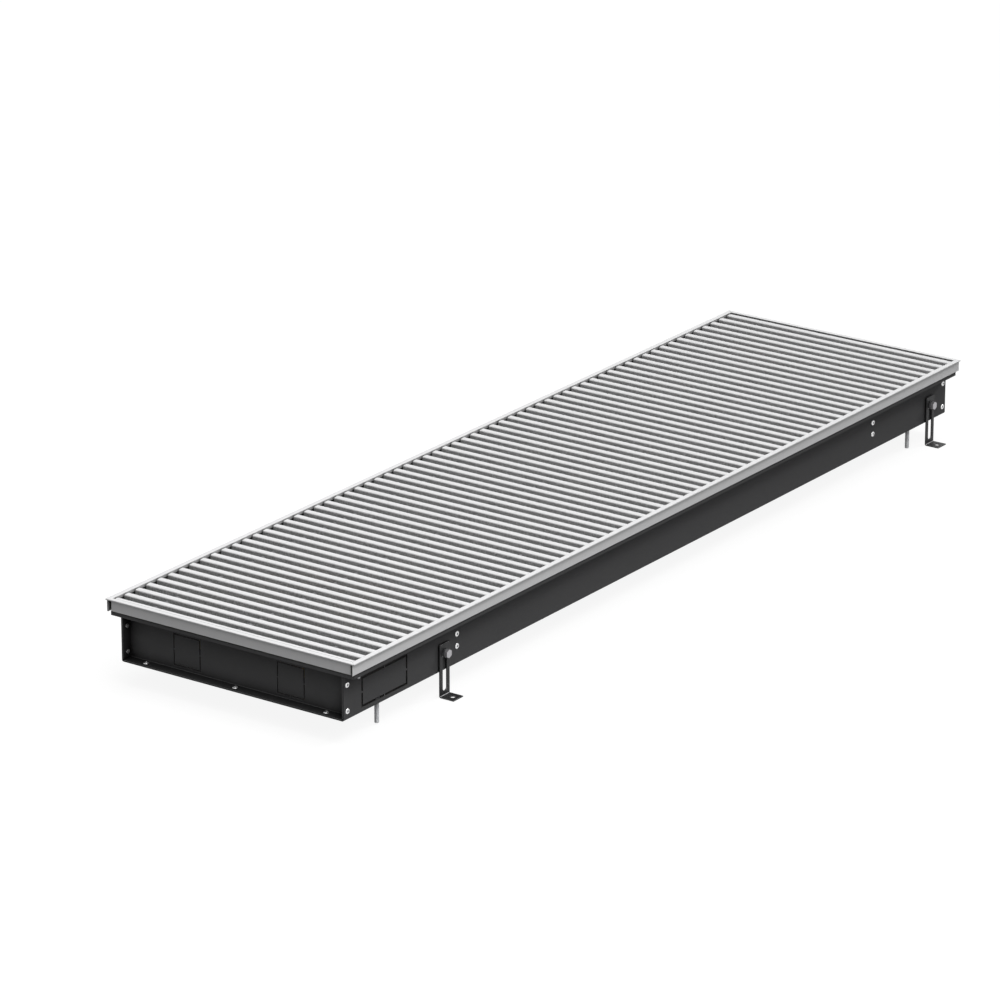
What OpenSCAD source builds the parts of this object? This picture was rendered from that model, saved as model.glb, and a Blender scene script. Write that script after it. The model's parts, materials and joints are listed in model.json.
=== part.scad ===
// Trench convector heater: a sheet-steel trough that is set into a floor, with a
// finned water heat exchanger inside and a lift-off grille of cross slats on top.
// X runs along the heater, +Z is up, and the origin is under the middle, on the slab.
// The near end is at -X and the front is at -Y. Depths are measured down from the
// top of the frame, and insets are measured inward from the frame's outer edge.

/* [Overall] */
// Length of the frame, end to end
frame_length = 1400; // [1000:50:2400]
// Width of the frame
frame_width = 382; // [350:2:420]
// Height from the slab to the top of the frame, with the feet fully out
overall_height = 112; // [112:1:130]

/* [Frame] */
// Wall of the aluminium frame sections
frame_t = 1.5; // [1.2:0.1:1.6]
// Width of the top flange on the long sides
side_flange_w = 7; // [6.8:0.1:9]
// Width of the top flange on the short ends
end_flange_w = 6.3; // [6.3:0.1:8]
// Distance from the flange's outer edge in to the skirt
skirt_inset = 2.5; // [1.5:0.1:2.5]
// Depth of the skirt's lower edge
skirt_depth = 16; // [15:0.5:20]
// Bevel along the skirt's lower edge
skirt_bevel = 0.6; // [0.2:0.1:1]
// Thickness of the rib under the flange's inner edge
rib_t = 1.2; // [0.8:0.1:1.2]
// Depth of the rib's lower edge
rib_depth = 4; // [3:0.1:5]
// Reach of the hook at the skirt's foot
hook_w = 1.6; // [1:0.1:2]
// Thickness of the hook
hook_t = 0.9; // [0.5:0.1:1]
// Open gap at each corner between the end skirt and the side skirt
corner_gap = 3; // [1:0.5:5]
// Gap of the mitre joints between the flanges
mitre_gap = 0.2; // [0.1:0.05:0.5]
// Thickness of the corner keys
key_t = 1; // [0.5:0.1:1]
// Length of each leg of a corner key
key_leg = 30; // [20:1:40]

/* [Seat of the grille] */
// Thickness of the seat rails
rail_t = 1.8; // [1.6:0.1:2.5]
// Inset of the seat rails' inner edge
rail_reach = 17; // [15:0.5:19]
// Thickness of the damping strips
strip_t = 1.3; // [1:0.1:2]
// Inset of the rail screws
rail_screw_inset = 11.4; // [10.5:0.1:12]
// Rail screws along each long side
side_screw_count = 7; // [4:1:12]
// Rail screws along each short end
end_screw_count = 3; // [2:1:5]
// Distance from the frame's end to the first rail screw of a long side
side_screw_margin = 60; // [40:5:100]
// Distance from the frame's side to the first rail screw of a short end
end_screw_margin = 71; // [50:1:100]

/* [Grille] */
// Distance from slat to slat
slat_pitch = 21.5; // [18:0.5:28]
// Width of a slat
slat_w = 9.9; // [8:0.1:12]
// Radius of a slat's upper edges
slat_edge_r = 2; // [1.5:0.1:3.5]
// Wall of the hollow slats
slat_wall = 1.2; // [1:0.1:1.4]
// Width of the narrow bar at the near end
end_bar_w = 5.9; // [4:0.1:9]
// Radius of the end bar's upper edges
end_bar_edge_r = 1; // [0.5:0.1:1.5]
// Gap between the grille and the frame at the front and the near end
grille_gap = 0.3; // [0.3:0.1:1]
// Gap between the grille and the frame at the back
grille_back_gap = 3.3; // [1:0.1:5]
// Radius of the rods that string the slats together
rod_r = 2.5; // [2:0.1:3]
// Depth of the rods' axis
rod_depth = 8; // [7:0.1:9]
// Distance between the rods
rod_spacing = 130; // [100:5:150]
// Radius of the sleeves between the slats
sleeve_r = 4; // [3.5:0.1:4.5]
// Height of the nuts on the rods' far ends
rod_nut_h = 2.5; // [2:0.1:3]
// Width across flats of the rod nuts
rod_nut_af = 8; // [7:0.5:9]

/* [Casing] */
// Thickness of the steel sheet
sheet_t = 1.2; // [1:0.1:1.5]
// Height of the trough, from its underside to its flanges
casing_h = 64; // [60:1:80]
// Inset of the trough's long walls
wall_inset = 20; // [20:0.5:22]
// Inset of the lip that hangs from the flange
lip_inset = 4.6; // [4:0.1:5]
// Height of the lip
lip_h = 6; // [5:0.1:8]
// Inset of the trough's ends
end_inset = 5; // [4.5:0.1:6]
// Outer radius of the sheet's bends
bend_r = 2.4; // [1.8:0.1:2.6]
// Depth of the hollow in front of each end plate
recess = 15; // [14:0.5:20]
// Relief between the end plate's flanges
flange_relief = 1; // [0.5:0.1:2]

/* [Knock-outs] */
// Width of the cut lines round an end plate's knock-outs
end_cut_line_w = 1.6; // [1:0.1:2]
// Width of the cut lines round a long wall's knock-outs
side_cut_line_w = 3; // [2:0.1:3.4]
// Width of the ties that hold an end plate's knock-outs
end_tie_w = 1.5; // [1:0.1:3]
// Width of the ties that hold a long wall's knock-outs
side_tie_w = 2.2; // [1:0.1:3]
// Side of the square knock-outs in the end plates
end_knockout = 42; // [36:1:46]
// Length of the knock-outs in the long walls
side_knockout_l = 93.6; // [60:0.2:100]
// Height of the knock-outs in the long walls
side_knockout_h = 39.8; // [36:0.2:42]
// Distance from the frame's near end to the middle of a long wall's knock-out
side_knockout_inset = 87.5; // [80:0.5:100]
// Depth of the middle of a long wall's knock-out
side_knockout_depth = 53.4; // [50:0.1:55]

/* [Rivets] */
// Radius of a rivet's shank
rivet_r = 2; // [1.6:0.1:2.4]
// Radius of a rivet's head
rivet_head_r = 3.6; // [3:0.1:4]
// Height of a rivet's head
rivet_head_h = 1.1; // [0.8:0.1:1.4]
// Radius of the hollow in the middle of a rivet
rivet_hole_r = 1.1; // [0.8:0.1:1.2]
// Radius of the formed end of a rivet
rivet_tail_r = 2.9; // [2.6:0.1:3.2]
// Length of the formed end of a rivet
rivet_tail_l = 2; // [1.5:0.1:3]
// Inset of the end plates' rivets
end_rivet_inset = 12.5; // [11.5:0.1:13]
// Depth of the upper rivet of an end plate
upper_rivet_depth = 34.5; // [32:0.5:38]
// Depth of the lower rivet of an end plate
lower_rivet_depth = 68.5; // [60:0.5:68.5]
// Distance from the middle to the outer rivets in the trough's floor
floor_rivet_offset = 139; // [100:1:145]

/* [Heat exchanger] */
// Distance from the near end to the rivets of the near bracket
near_bracket_inset = 237.6; // [230:0.2:300]
// Distance from the far end to the rivets of the far bracket
far_bracket_inset = 195; // [150:1:250]
// Width of a bracket's flanges
bracket_flange_w = 15; // [12:1:20]
// Height of a bracket's flanges
bracket_flange_h = 32; // [28:1:36]
// Height of a bracket's web
bracket_web_h = 46; // [42:1:46]
// Depth of a bracket's upper rivets
bracket_upper_depth = 40.2; // [38:0.2:42]
// Depth of a bracket's lower rivets
bracket_lower_depth = 56.4; // [54:0.2:58]
// Distance from fin to fin, rounded to fit between the brackets
fin_spacing = 10; // [8:0.5:14]
// Thickness of a fin
fin_t = 0.5; // [0.3:0.1:0.8]
// Width of a fin
fin_w = 210; // [190:2:230]
// Height of a fin
fin_h = 40; // [36:1:44]
// Fins outside each bracket
outside_fin_count = 3; // [1:1:5]
// Outer radius of the copper tubes
tube_r = 7.5; // [6.5:0.1:8]
// Wall of the copper tubes
tube_wall = 1; // [0.8:0.1:1.2]
// Length of tube beyond the outermost fin
tube_stub = 18; // [16:1:24]
// Wall of the return bends
bend_wall = 1.6; // [1.4:0.1:2]
// Length of the sockets of the return bends
bend_socket_l = 10; // [8:1:12]
// Wall of the sockets of the return bends
bend_socket_wall = 1.2; // [1:0.1:1.5]

/* [Water connections] */
// Distance from the middle to each connection
connection_offset = 80; // [74:1:84]
// Depth of the connections' axis
connection_depth = 52.3; // [51.5:0.1:53]
// Distance from the near end to the connections' mouths
connection_inset = 60; // [50:1:80]
// Radius of the female thread, to its crests
thread_r = 9.3; // [8.5:0.1:9.5]
// Depth of the female thread
thread_l = 12.5; // [10:0.5:13]
// Width across flats of the connection
connection_af = 27; // [26:0.5:30]
// Length of the hexagon
connection_hex_l = 14; // [14:0.5:15]
// Length of the connection
connection_l = 40; // [40:1:50]
// Radius of the connection's neck
neck_r = 10.5; // [9.5:0.1:12]
// Radius of the bore in the middle of the connection
waterway_r = 6; // [5:0.1:6.3]
// Depth of the socket for the copper tube
tube_socket_l = 12; // [10:1:12]
// Distance from the mouth to the air vent
vent_offset = 21; // [20:0.5:22]
// Height of the vent's boss above the connection's axis
vent_boss_h = 17; // [16:0.5:19]
// Radius of the vent's boss
vent_boss_r = 5; // [4.6:0.1:5.5]
// Radius of the vent screw's thread
vent_r = 3; // [2.5:0.1:3]
// Length of the vent screw's thread
vent_thread_l = 6.5; // [5:0.1:7]
// Radius of the vent screw's head
vent_head_r = 4.4; // [4:0.1:5]
// Height of the vent screw's head
vent_head_h = 3; // [2.5:0.1:4]
// Radius of the vent's air channel
vent_channel_r = 1; // [0.6:0.1:1.5]

/* [Feet] */
// Distance from the near end to the middle of the near feet
near_foot_inset = 208; // [190:1:230]
// Distance from the far end to the middle of the far feet
far_foot_inset = 49; // [40:1:60]
// Inset of a foot's outer face
foot_face_inset = 17; // [16.5:0.1:17]
// Thickness of a foot
foot_t = 1.5; // [1.2:0.1:1.5]
// Width of a foot
foot_w = 20.5; // [18:0.5:24]
// Reach of a foot beyond the frame's edge
foot_toe = 3.4; // [2:0.2:10]
// Depth of a foot's upper edge
foot_top_depth = 42.5; // [42:0.5:46]
// Outer radius of a foot's bend
foot_bend_r = 2.5; // [2:0.1:3]
// Width of a foot's slot
foot_slot_w = 8.5; // [7:0.1:9]
// Height of the slot's lower end above the slab
foot_slot_base = 7; // [5:0.5:10]
// Play between the bolt and the slot's upper end
foot_slot_play = 1.5; // [0.5:0.1:2]
// Radius of the screw hole in a foot
foot_hole_r = 3.25; // [2.5:0.05:3.5]
// Inset of the screw hole in a foot
foot_hole_inset = 5; // [4:0.5:7]

/* [Foot bolts and levelling screws] */
// Radius of the bolts and levelling screws
bolt_r = 3; // [2.5:0.1:3]
// Width across flats of the bolt heads and nuts
bolt_af = 10; // [9:0.5:11]
// Height of a bolt's head
bolt_head_h = 4; // [3.5:0.1:4.5]
// Height of a lock nut
lock_nut_h = 2.8; // [2.4:0.1:3]
// Length of a bolt's shank
bolt_l = 18; // [18:1:22]
// Depth of the bolts' axis
bolt_depth = 55; // [54:0.5:58]
// Radius of a rivet nut's flange
rivet_nut_flange_r = 5.6; // [5.2:0.1:6]
// Thickness of a rivet nut's flange
rivet_nut_flange_t = 1.4; // [1:0.1:1.4]
// Radius of a rivet nut's body
rivet_nut_r = 4.4; // [4:0.1:4.6]
// Length of a rivet nut's body
rivet_nut_l = 12; // [10:0.5:12]
// Distance from the frame's ends to the levelling screws
levelling_inset = 86; // [84:1:100]
// Distance from the frame's sides to the levelling screws
levelling_side_inset = 31; // [29:0.5:40]
// Length of a levelling screw
levelling_l = 58; // [50:1:58]
// Height of the levelling screws' tips above the slab
levelling_tip = 2; // [0:0.5:3]
// Width across flats of the levelling screw's socket
levelling_socket_af = 3; // [2.5:0.1:3]
// Depth of the levelling screw's socket
levelling_socket_l = 4; // [3:0.5:6]
// Bevel at the levelling screw's ends
levelling_bevel = 0.6; // [0.3:0.1:1]

/* [Small screws] */
// Radius of the rail screws
rail_screw_r = 1.5; // [1.25:0.05:1.5]
// Radius of a rail screw's head
rail_screw_head_r = 2.9; // [2.5:0.1:3]
// Height of a rail screw's head
rail_screw_head_h = 1.4; // [1:0.1:1.6]
// Length of a rail screw
rail_screw_l = 7; // [6.5:0.1:7.5]
// Width across flats of the rail screws' nuts
rail_nut_af = 5.5; // [5:0.1:5.5]
// Height of the rail screws' nuts
rail_nut_h = 2.4; // [2:0.1:2.4]
// Distance from the near end to the earth screw
earth_inset = 35; // [32:0.5:37]
// Depth of the earth screw
earth_depth = 31; // [29:0.5:32]
// Radius of the earth screw
earth_r = 2; // [1.5:0.1:2]
// Length of the earth screw
earth_l = 10; // [8:0.5:14]
// Radius of the earth screw's free thread, halfway down its flanks
earth_thread_r = 1.8; // [1.3:0.05:1.8]
// Radius of the earth screw's head
earth_head_r = 2.8; // [2.6:0.1:4]
// Height of the earth screw's head
earth_head_h = 1.8; // [1.6:0.1:3]
// Width across flats of the earth nut
earth_nut_af = 7; // [6:0.1:8]
// Height of the earth nut
earth_nut_h = 3.2; // [2.4:0.1:4]
// Width of the screwdriver slots
driver_slot_w = 1; // [0.8:0.1:1.2]
// Depth of the screwdriver slots
driver_slot_h = 1.2; // [0.8:0.1:1.4]

/* [Hidden] */
$fn = 48;
// Steps in a quarter circle of an outline
bend_steps = 6;
// Overrun of every cut past the face that it opens
cut = 1;
// Radial clearance of a thread, a rivet or a tube in its hole
fit = 0.05;
// Clearance between pieces that are laid together
slip = 0.1;
// Clearance between pieces that turn or slide on each other face to face
turn_gap = 0.1;
// Clearance between the slats' ends and the strip that they rest on
seat_gap = 0.2;
// Share of its head's radius that the crown of a rivet or screw keeps
crown_share = 0.75;

half_l = frame_length / 2;
half_w = frame_width / 2;
top_z = overall_height;
skirt_in = skirt_inset + frame_t;
hook_in = skirt_in + hook_w;
skirt_run_inset = skirt_in + corner_gap;
rail_top = rail_t - skirt_depth;
strip_top = rail_top + strip_t;
slat_h = -strip_top - seat_gap;
slat_front_y = side_flange_w + grille_gap - half_w;
slat_back_y = half_w - side_flange_w - grille_back_gap;
slat_l = slat_back_y - slat_front_y;
end_bar_x = end_flange_w + grille_gap - half_l;
slat_room = frame_length - 2 * end_flange_w - grille_gap - end_bar_w - rod_nut_h - grille_gap;
slat_count = floor(slat_room / slat_pitch);
first_slat_x = end_bar_x + end_bar_w + slat_pitch - slat_w;
last_slat_end = first_slat_x + (slat_count - 1) * slat_pitch + slat_w;
sleeve_l = slat_pitch - slat_w;
rod_places = [-rod_spacing, 0, rod_spacing];

wall_in = wall_inset + sheet_t;
plate_out = end_inset + recess;
plate_in = plate_out + sheet_t;
casing_bottom = -skirt_depth - casing_h;
tray_bottom = casing_bottom + sheet_t;
tray_w = frame_width - 2 * (wall_in + slip);
floor_z = top_z + casing_bottom;
rivet_grip = 2 * sheet_t + slip;

near_web_x = near_bracket_inset + bracket_flange_w / 2 - sheet_t / 2 - half_l;
far_web_x = half_l - far_bracket_inset - bracket_flange_w / 2 + sheet_t / 2;
fin_gap_count = round((far_web_x - near_web_x) / fin_spacing);
fin_pitch = (far_web_x - near_web_x) / fin_gap_count;
fin_count = fin_gap_count + 2 * outside_fin_count;
first_fin_x = near_web_x + (1 / 2 - outside_fin_count) * fin_pitch;
last_fin_x = first_fin_x + (fin_count - 1) * fin_pitch;
tube_pitch = connection_offset * 2 / 3;
tube_places = [-connection_offset, -tube_pitch / 2, tube_pitch / 2, connection_offset];
tube_z = top_z - connection_depth;
outer_tube_x = connection_inset + connection_l - tube_socket_l - half_l;
inner_tube_x = first_fin_x - tube_stub;
far_tube_x = last_fin_x + tube_stub;

near_foot_x = near_foot_inset - half_l;
far_foot_x = half_l - far_foot_inset;
foot_in = foot_face_inset + foot_t;
foot_top_z = top_z - foot_top_depth;
bolt_z = top_z - bolt_depth;
slot_top_z = bolt_z + bolt_r + foot_slot_play;
lock_nut_front = foot_face_inset - turn_gap - lock_nut_h;
bolt_head_back = lock_nut_front - turn_gap;

// Circumradius of a hexagon with a given width across flats
function hex_r(af) = af / 2 / cos(30);

// Points along an arc about a centre, from one angle to another
function arc(cx, cy, r, from, to) = [
    for (i = [0:bend_steps])
        let (a = from + (to - from) * i / bend_steps)
            [cx + r * cos(a), cy + r * sin(a)]
];

// Outer face of a hanging lip and its flange, as far as the bend into the upright sheet
function flange_outside(sheet_in) = concat(
    [[lip_inset, -skirt_depth - lip_h]],
    arc(lip_inset + bend_r, -skirt_depth - bend_r, bend_r, 180, 90),
    arc(sheet_in - bend_r, -skirt_depth - bend_r, bend_r, 90, 0)
);

// Inner face of the same flange and lip, back from the upright sheet
function flange_inside(sheet_in) = concat(
    arc(sheet_in - bend_r, -skirt_depth - bend_r, bend_r - sheet_t, 0, 90),
    arc(lip_inset + bend_r, -skirt_depth - bend_r, bend_r - sheet_t, 90, 180),
    [[lip_inset + sheet_t, -skirt_depth - lip_h]]
);

// A half outline mirrored to the other side of the frame, in reverse order
function other_side(points) = [
    for (i = [len(points) - 1:-1:0]) [frame_width - points[i][0], points[i][1]]
];

// A section drawn as inset and height above the frame's top, run along the front
module side_run(run) {
    translate([-run / 2, -half_w, top_z])
        rotate([90, 0, 90])
            linear_extrude(run)
                children();
}

// The same, run along the near end
module end_run(run) {
    translate([-half_l, run / 2, top_z])
        rotate([90, 0, 0])
            linear_extrude(run)
                children();
}

// Faces out of the front wall at a place along X and a depth
module on_front_wall(x, depth) {
    translate([x, wall_inset - half_w, top_z - depth])
        rotate([90, 0, 0])
            children();
}

// Faces out of the near end plate at a place along Y and a depth
module on_near_plate(y, depth) {
    translate([plate_out - half_l, y, top_z - depth])
        rotate([90, 0, -90])
            children();
}

module front_and_back() {
    children();
    mirror([0, 1, 0])
        children();
}

module near_and_far() {
    children();
    mirror([1, 0, 0])
        children();
}

// A box given by two corners of its section, for side_run and end_run
module band(from, to) {
    translate(from)
        square(to - from);
}

// A round bar along X
module bar_x(r, length) {
    rotate([0, 90, 0])
        cylinder(r = r, h = length);
}

// Frame

module skirt_section(upper) {
    polygon([
        [skirt_inset, upper],
        [skirt_inset, skirt_bevel - skirt_depth],
        [skirt_inset + skirt_bevel, -skirt_depth],
        [skirt_in, -skirt_depth],
        [skirt_in, upper]
    ]);
}

module hook_section() {
    band([skirt_in - frame_t / 2, -skirt_depth], [hook_in, hook_t - skirt_depth]);
}

module rib_section(flange_w) {
    band([flange_w - rib_t, -rib_depth], [flange_w, -frame_t / 2]);
}

module frame_side() {
    color("gainsboro") {
        translate([0, 0, top_z - frame_t])
            linear_extrude(frame_t)
                polygon([
                    [mitre_gap / 2 - half_l, -half_w],
                    [half_l - mitre_gap / 2, -half_w],
                    [half_l - end_flange_w - mitre_gap / 2, side_flange_w - half_w],
                    [end_flange_w + mitre_gap / 2 - half_l, side_flange_w - half_w]
                ]);
        side_run(frame_length)
            skirt_section(-frame_t);
        side_run(frame_length - 2 * (end_flange_w + mitre_gap)) {
            skirt_section(-frame_t / 2);
            rib_section(side_flange_w);
        }
        side_run(frame_length - 2 * skirt_run_inset)
            hook_section();
    }
}

module frame_end() {
    color("gainsboro") {
        translate([0, 0, top_z - frame_t])
            linear_extrude(frame_t)
                polygon([
                    [-half_l, mitre_gap / 2 - half_w],
                    [-half_l, half_w - mitre_gap / 2],
                    [end_flange_w - half_l, half_w - side_flange_w - mitre_gap / 2],
                    [end_flange_w - half_l, side_flange_w + mitre_gap / 2 - half_w]
                ]);
        end_run(frame_width - 2 * (side_flange_w + mitre_gap))
            rib_section(end_flange_w);
        end_run(frame_width - 2 * skirt_run_inset) {
            skirt_section(-frame_t / 2);
            hook_section();
        }
    }
}

module corner_key() {
    key_h = rib_depth - frame_t;
    translate([skirt_in - half_l, skirt_in - half_w, top_z - rib_depth]) {
        cube([key_leg, key_t, key_h]);
        cube([key_t, key_leg, key_h]);
    }
}

module corner_keys() {
    color("dimgray")
        near_and_far()
            front_and_back()
                corner_key();
}

// Seat rails, damping strips and their screws

module rail_section() {
    band([skirt_in, hook_t + turn_gap - skirt_depth], [rail_reach, rail_top]);
    band([hook_in + turn_gap, -skirt_depth], [rail_reach, rail_top]);
}

// Places of the screws of the front rail
function side_screw_xs() = [
    for (i = [0:side_screw_count - 1])
        let (span = frame_length - 2 * side_screw_margin)
            side_screw_margin - half_l + span * i / (side_screw_count - 1)
];

// Places of the screws of the near rail
function end_screw_ys() = [
    for (i = [0:end_screw_count - 1])
        let (span = frame_width - 2 * end_screw_margin)
            end_screw_margin - half_w + span * i / (end_screw_count - 1)
];

// Puts its children at each screw of the front rail, on the rail's upper face
module at_side_screws() {
    for (x = side_screw_xs())
        translate([x, rail_screw_inset - half_w, top_z + rail_top])
            children();
}

// Puts its children at each screw of the near rail
module at_end_screws() {
    for (y = end_screw_ys())
        translate([rail_screw_inset - half_l, y, top_z + rail_top])
            children();
}

module rail_screw_hole() {
    translate([0, 0, -rail_screw_l - cut])
        cylinder(r = rail_screw_r + fit, h = rail_screw_l + 2 * cut);
}

module rail_screw_sink() {
    rise = rail_screw_head_r - rail_screw_r;
    translate([0, 0, -rail_screw_head_h])
        cylinder(r1 = rail_screw_r + fit, r2 = rail_screw_head_r + fit, h = rail_screw_head_h);
    translate([0, 0, -fit])
        cylinder(r = rail_screw_head_r + fit, h = rise);
    rail_screw_hole();
}

module rail_screw() {
    difference() {
        union() {
            translate([0, 0, -rail_screw_head_h])
                cylinder(r1 = rail_screw_r, r2 = rail_screw_head_r, h = rail_screw_head_h);
            translate([0, 0, -rail_screw_l])
                cylinder(r = rail_screw_r, h = rail_screw_l - rail_screw_head_h / 2);
        }
        translate([-rail_screw_head_r, -driver_slot_w / 2, -rail_screw_head_h / 2])
            cube([2 * rail_screw_head_r, driver_slot_w, rail_screw_head_h]);
    }
}

module rail_screw_nut() {
    nut_top = -rail_t - sheet_t;
    difference() {
        translate([0, 0, nut_top - rail_nut_h])
            cylinder(r = hex_r(rail_nut_af), h = rail_nut_h, $fn = 6);
        rail_screw_hole();
    }
}

module seat_rail_side() {
    color("silver")
        difference() {
            side_run(frame_length - 2 * (hook_in + turn_gap))
                rail_section();
            at_side_screws()
                rail_screw_sink();
        }
}

module seat_rail_end() {
    color("silver")
        difference() {
            end_run(frame_width - 2 * (rail_reach + slip))
                rail_section();
            at_end_screws()
                rail_screw_sink();
        }
}

module damping_strip_side() {
    strip_out = side_flange_w - rib_t;
    color("#1b1b1c")
        side_run(frame_length - 2 * end_flange_w) {
            band([strip_out, rail_top], [rail_reach, strip_top]);
            band([strip_out, rail_top], [side_flange_w, -rib_depth]);
        }
}

module damping_strip_end() {
    strip_out = end_flange_w - rib_t;
    color("#1b1b1c") {
        end_run(frame_width - 2 * (rail_reach + slip)) {
            band([strip_out, rail_top], [rail_reach, strip_top]);
            band([strip_out, rail_top], [end_flange_w, -rib_depth]);
        }
        end_run(frame_width - 2 * side_flange_w)
            band([strip_out, strip_top], [end_flange_w, -rib_depth]);
    }
}

module rail_screws() {
    color("lightgray") {
        front_and_back()
            at_side_screws()
                rail_screw();
        near_and_far()
            at_end_screws()
                rail_screw();
    }
}

module rail_screw_nuts() {
    color("lightgray") {
        front_and_back()
            at_side_screws()
                rail_screw_nut();
        near_and_far()
            at_end_screws()
                rail_screw_nut();
    }
}

// Grille

// Outline of a bar with rounded upper edges, shrunk on every side by a wall
module bar_section(w, edge_r, wall) {
    r = max(edge_r - wall, 0);
    polygon(concat(
        [[wall, wall - slat_h], [w - wall, wall - slat_h]],
        arc(w - wall - r, -wall - r, r, 0, 90),
        arc(wall + r, -wall - r, r, 90, 180)
    ));
}

// A section drawn along X and up from the frame's top, run across the grille
module slat_run(x) {
    translate([x, slat_back_y, top_z])
        rotate([90, 0, 0])
            linear_extrude(slat_l)
                children();
}

// The rods' holes, from the near end bar's blind ends to past the last slat
module rod_holes(from, to) {
    for (y = rod_places)
        translate([from, y, top_z - rod_depth])
            bar_x(rod_r + fit, to - from);
}

module grille_slats() {
    color("whitesmoke")
        difference() {
            for (i = [0:slat_count - 1])
                slat_run(first_slat_x + i * slat_pitch)
                    difference() {
                        bar_section(slat_w, slat_edge_r, 0);
                        bar_section(slat_w, slat_edge_r, slat_wall);
                    }
            rod_holes(first_slat_x - cut, last_slat_end + cut);
        }
}

module grille_end_bar() {
    color("whitesmoke")
        difference() {
            slat_run(end_bar_x)
                bar_section(end_bar_w, end_bar_edge_r, 0);
            rod_holes(end_bar_x + slat_wall, end_bar_x + end_bar_w + cut);
        }
}

module grille_rods() {
    rod_from = end_bar_x + slat_wall + slip;
    color("silver")
        for (y = rod_places)
            translate([rod_from, y, top_z - rod_depth])
                bar_x(rod_r, last_slat_end + rod_nut_h - rod_from);
}

module rod_sleeves() {
    color("gray")
        difference() {
            for (y = rod_places)
                for (i = [0:slat_count - 1])
                    translate([first_slat_x + i * slat_pitch - sleeve_l + fit, y, top_z - rod_depth])
                        bar_x(sleeve_r, sleeve_l - 2 * fit);
            rod_holes(end_bar_x, last_slat_end);
        }
}

module rod_nuts() {
    color("silver")
        difference() {
            for (y = rod_places)
                translate([last_slat_end, y, top_z - rod_depth])
                    rotate([0, 90, 0])
                        cylinder(r = hex_r(rod_nut_af), h = rod_nut_h, $fn = 6);
            rod_holes(last_slat_end - cut, last_slat_end + rod_nut_h + cut);
        }
}

// Casing and end plates

// Cut lines of a knock-out, as a flat figure about its middle
module knockout_lines(w, h, line_w, tie_w) {
    difference() {
        square([w, h], center = true);
        square([w - 2 * line_w, h - 2 * line_w], center = true);
        square([tie_w, h + cut], center = true);
        square([w + cut, tie_w], center = true);
    }
}

// The same lines cut through a sheet that lies behind the plane z = 0
module knockout(w, h, line_w, tie_w) {
    translate([0, 0, -sheet_t - cut])
        linear_extrude(sheet_t + 2 * cut)
            knockout_lines(w, h, line_w, tie_w);
}

// A round hole through whatever lies near the plane z = 0
module wall_hole(r) {
    reach = rivet_grip + cut;
    translate([0, 0, -reach])
        cylinder(r = r + fit, h = 2 * reach);
}

// Puts its children at the end plate's rivets in the front wall, at the near end
module at_wall_rivets() {
    for (depth = [upper_rivet_depth, lower_rivet_depth])
        on_front_wall(end_rivet_inset - half_l, depth)
            children();
}

// Puts its children at the end plate's rivets in the floor, at the near end
module at_floor_rivets() {
    for (y = [-floor_rivet_offset, 0, floor_rivet_offset])
        translate([end_rivet_inset - half_l, y, top_z + tray_bottom + sheet_t])
            children();
}

// Puts its children at the rivets of both brackets in the front wall
module at_bracket_rivets() {
    for (x = [near_bracket_inset - half_l, half_l - far_bracket_inset])
        for (depth = [bracket_upper_depth, bracket_lower_depth])
            on_front_wall(x, depth)
                children();
}

module at_foot_bolts() {
    for (x = [near_foot_x, far_foot_x])
        on_front_wall(x, bolt_depth)
            children();
}

module at_levelling_screw() {
    translate([levelling_inset - half_l, levelling_side_inset - half_w, floor_z])
        children();
}

function casing_upper() = concat(
    flange_outside(wall_in),
    arc(wall_inset + bend_r, casing_bottom + bend_r, bend_r - sheet_t, 180, 270)
);

function casing_lower() = concat(
    arc(wall_inset + bend_r, casing_bottom + bend_r, bend_r, 270, 180),
    flange_inside(wall_in)
);

// Room at a corner of the trough for the end plate's lip
module lip_notch() {
    translate([-half_l, -half_w, top_z - skirt_depth - lip_h - slip])
        cube([lip_inset + sheet_t + slip, wall_in + slip, lip_h + 2 * slip]);
}

module casing() {
    color("#2c2c2e")
        difference() {
            side_run(frame_length - 2 * end_inset)
                polygon(concat(
                    casing_upper(),
                    other_side(casing_upper()),
                    other_side(casing_lower()),
                    casing_lower()
                ));
            front_and_back() {
                on_front_wall(side_knockout_inset - half_l, side_knockout_depth)
                    knockout(side_knockout_l, side_knockout_h, side_cut_line_w, side_tie_w);
                at_bracket_rivets()
                    wall_hole(rivet_r);
                at_foot_bolts()
                    wall_hole(rivet_nut_r);
                at_side_screws()
                    rail_screw_hole();
                near_and_far() {
                    lip_notch();
                    at_wall_rivets()
                        wall_hole(rivet_r);
                    at_levelling_screw()
                        wall_hole(rivet_nut_r);
                }
            }
            near_and_far()
                at_floor_rivets()
                    wall_hole(rivet_r);
            on_front_wall(earth_inset - half_l, earth_depth)
                wall_hole(earth_r);
        }
}

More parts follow.
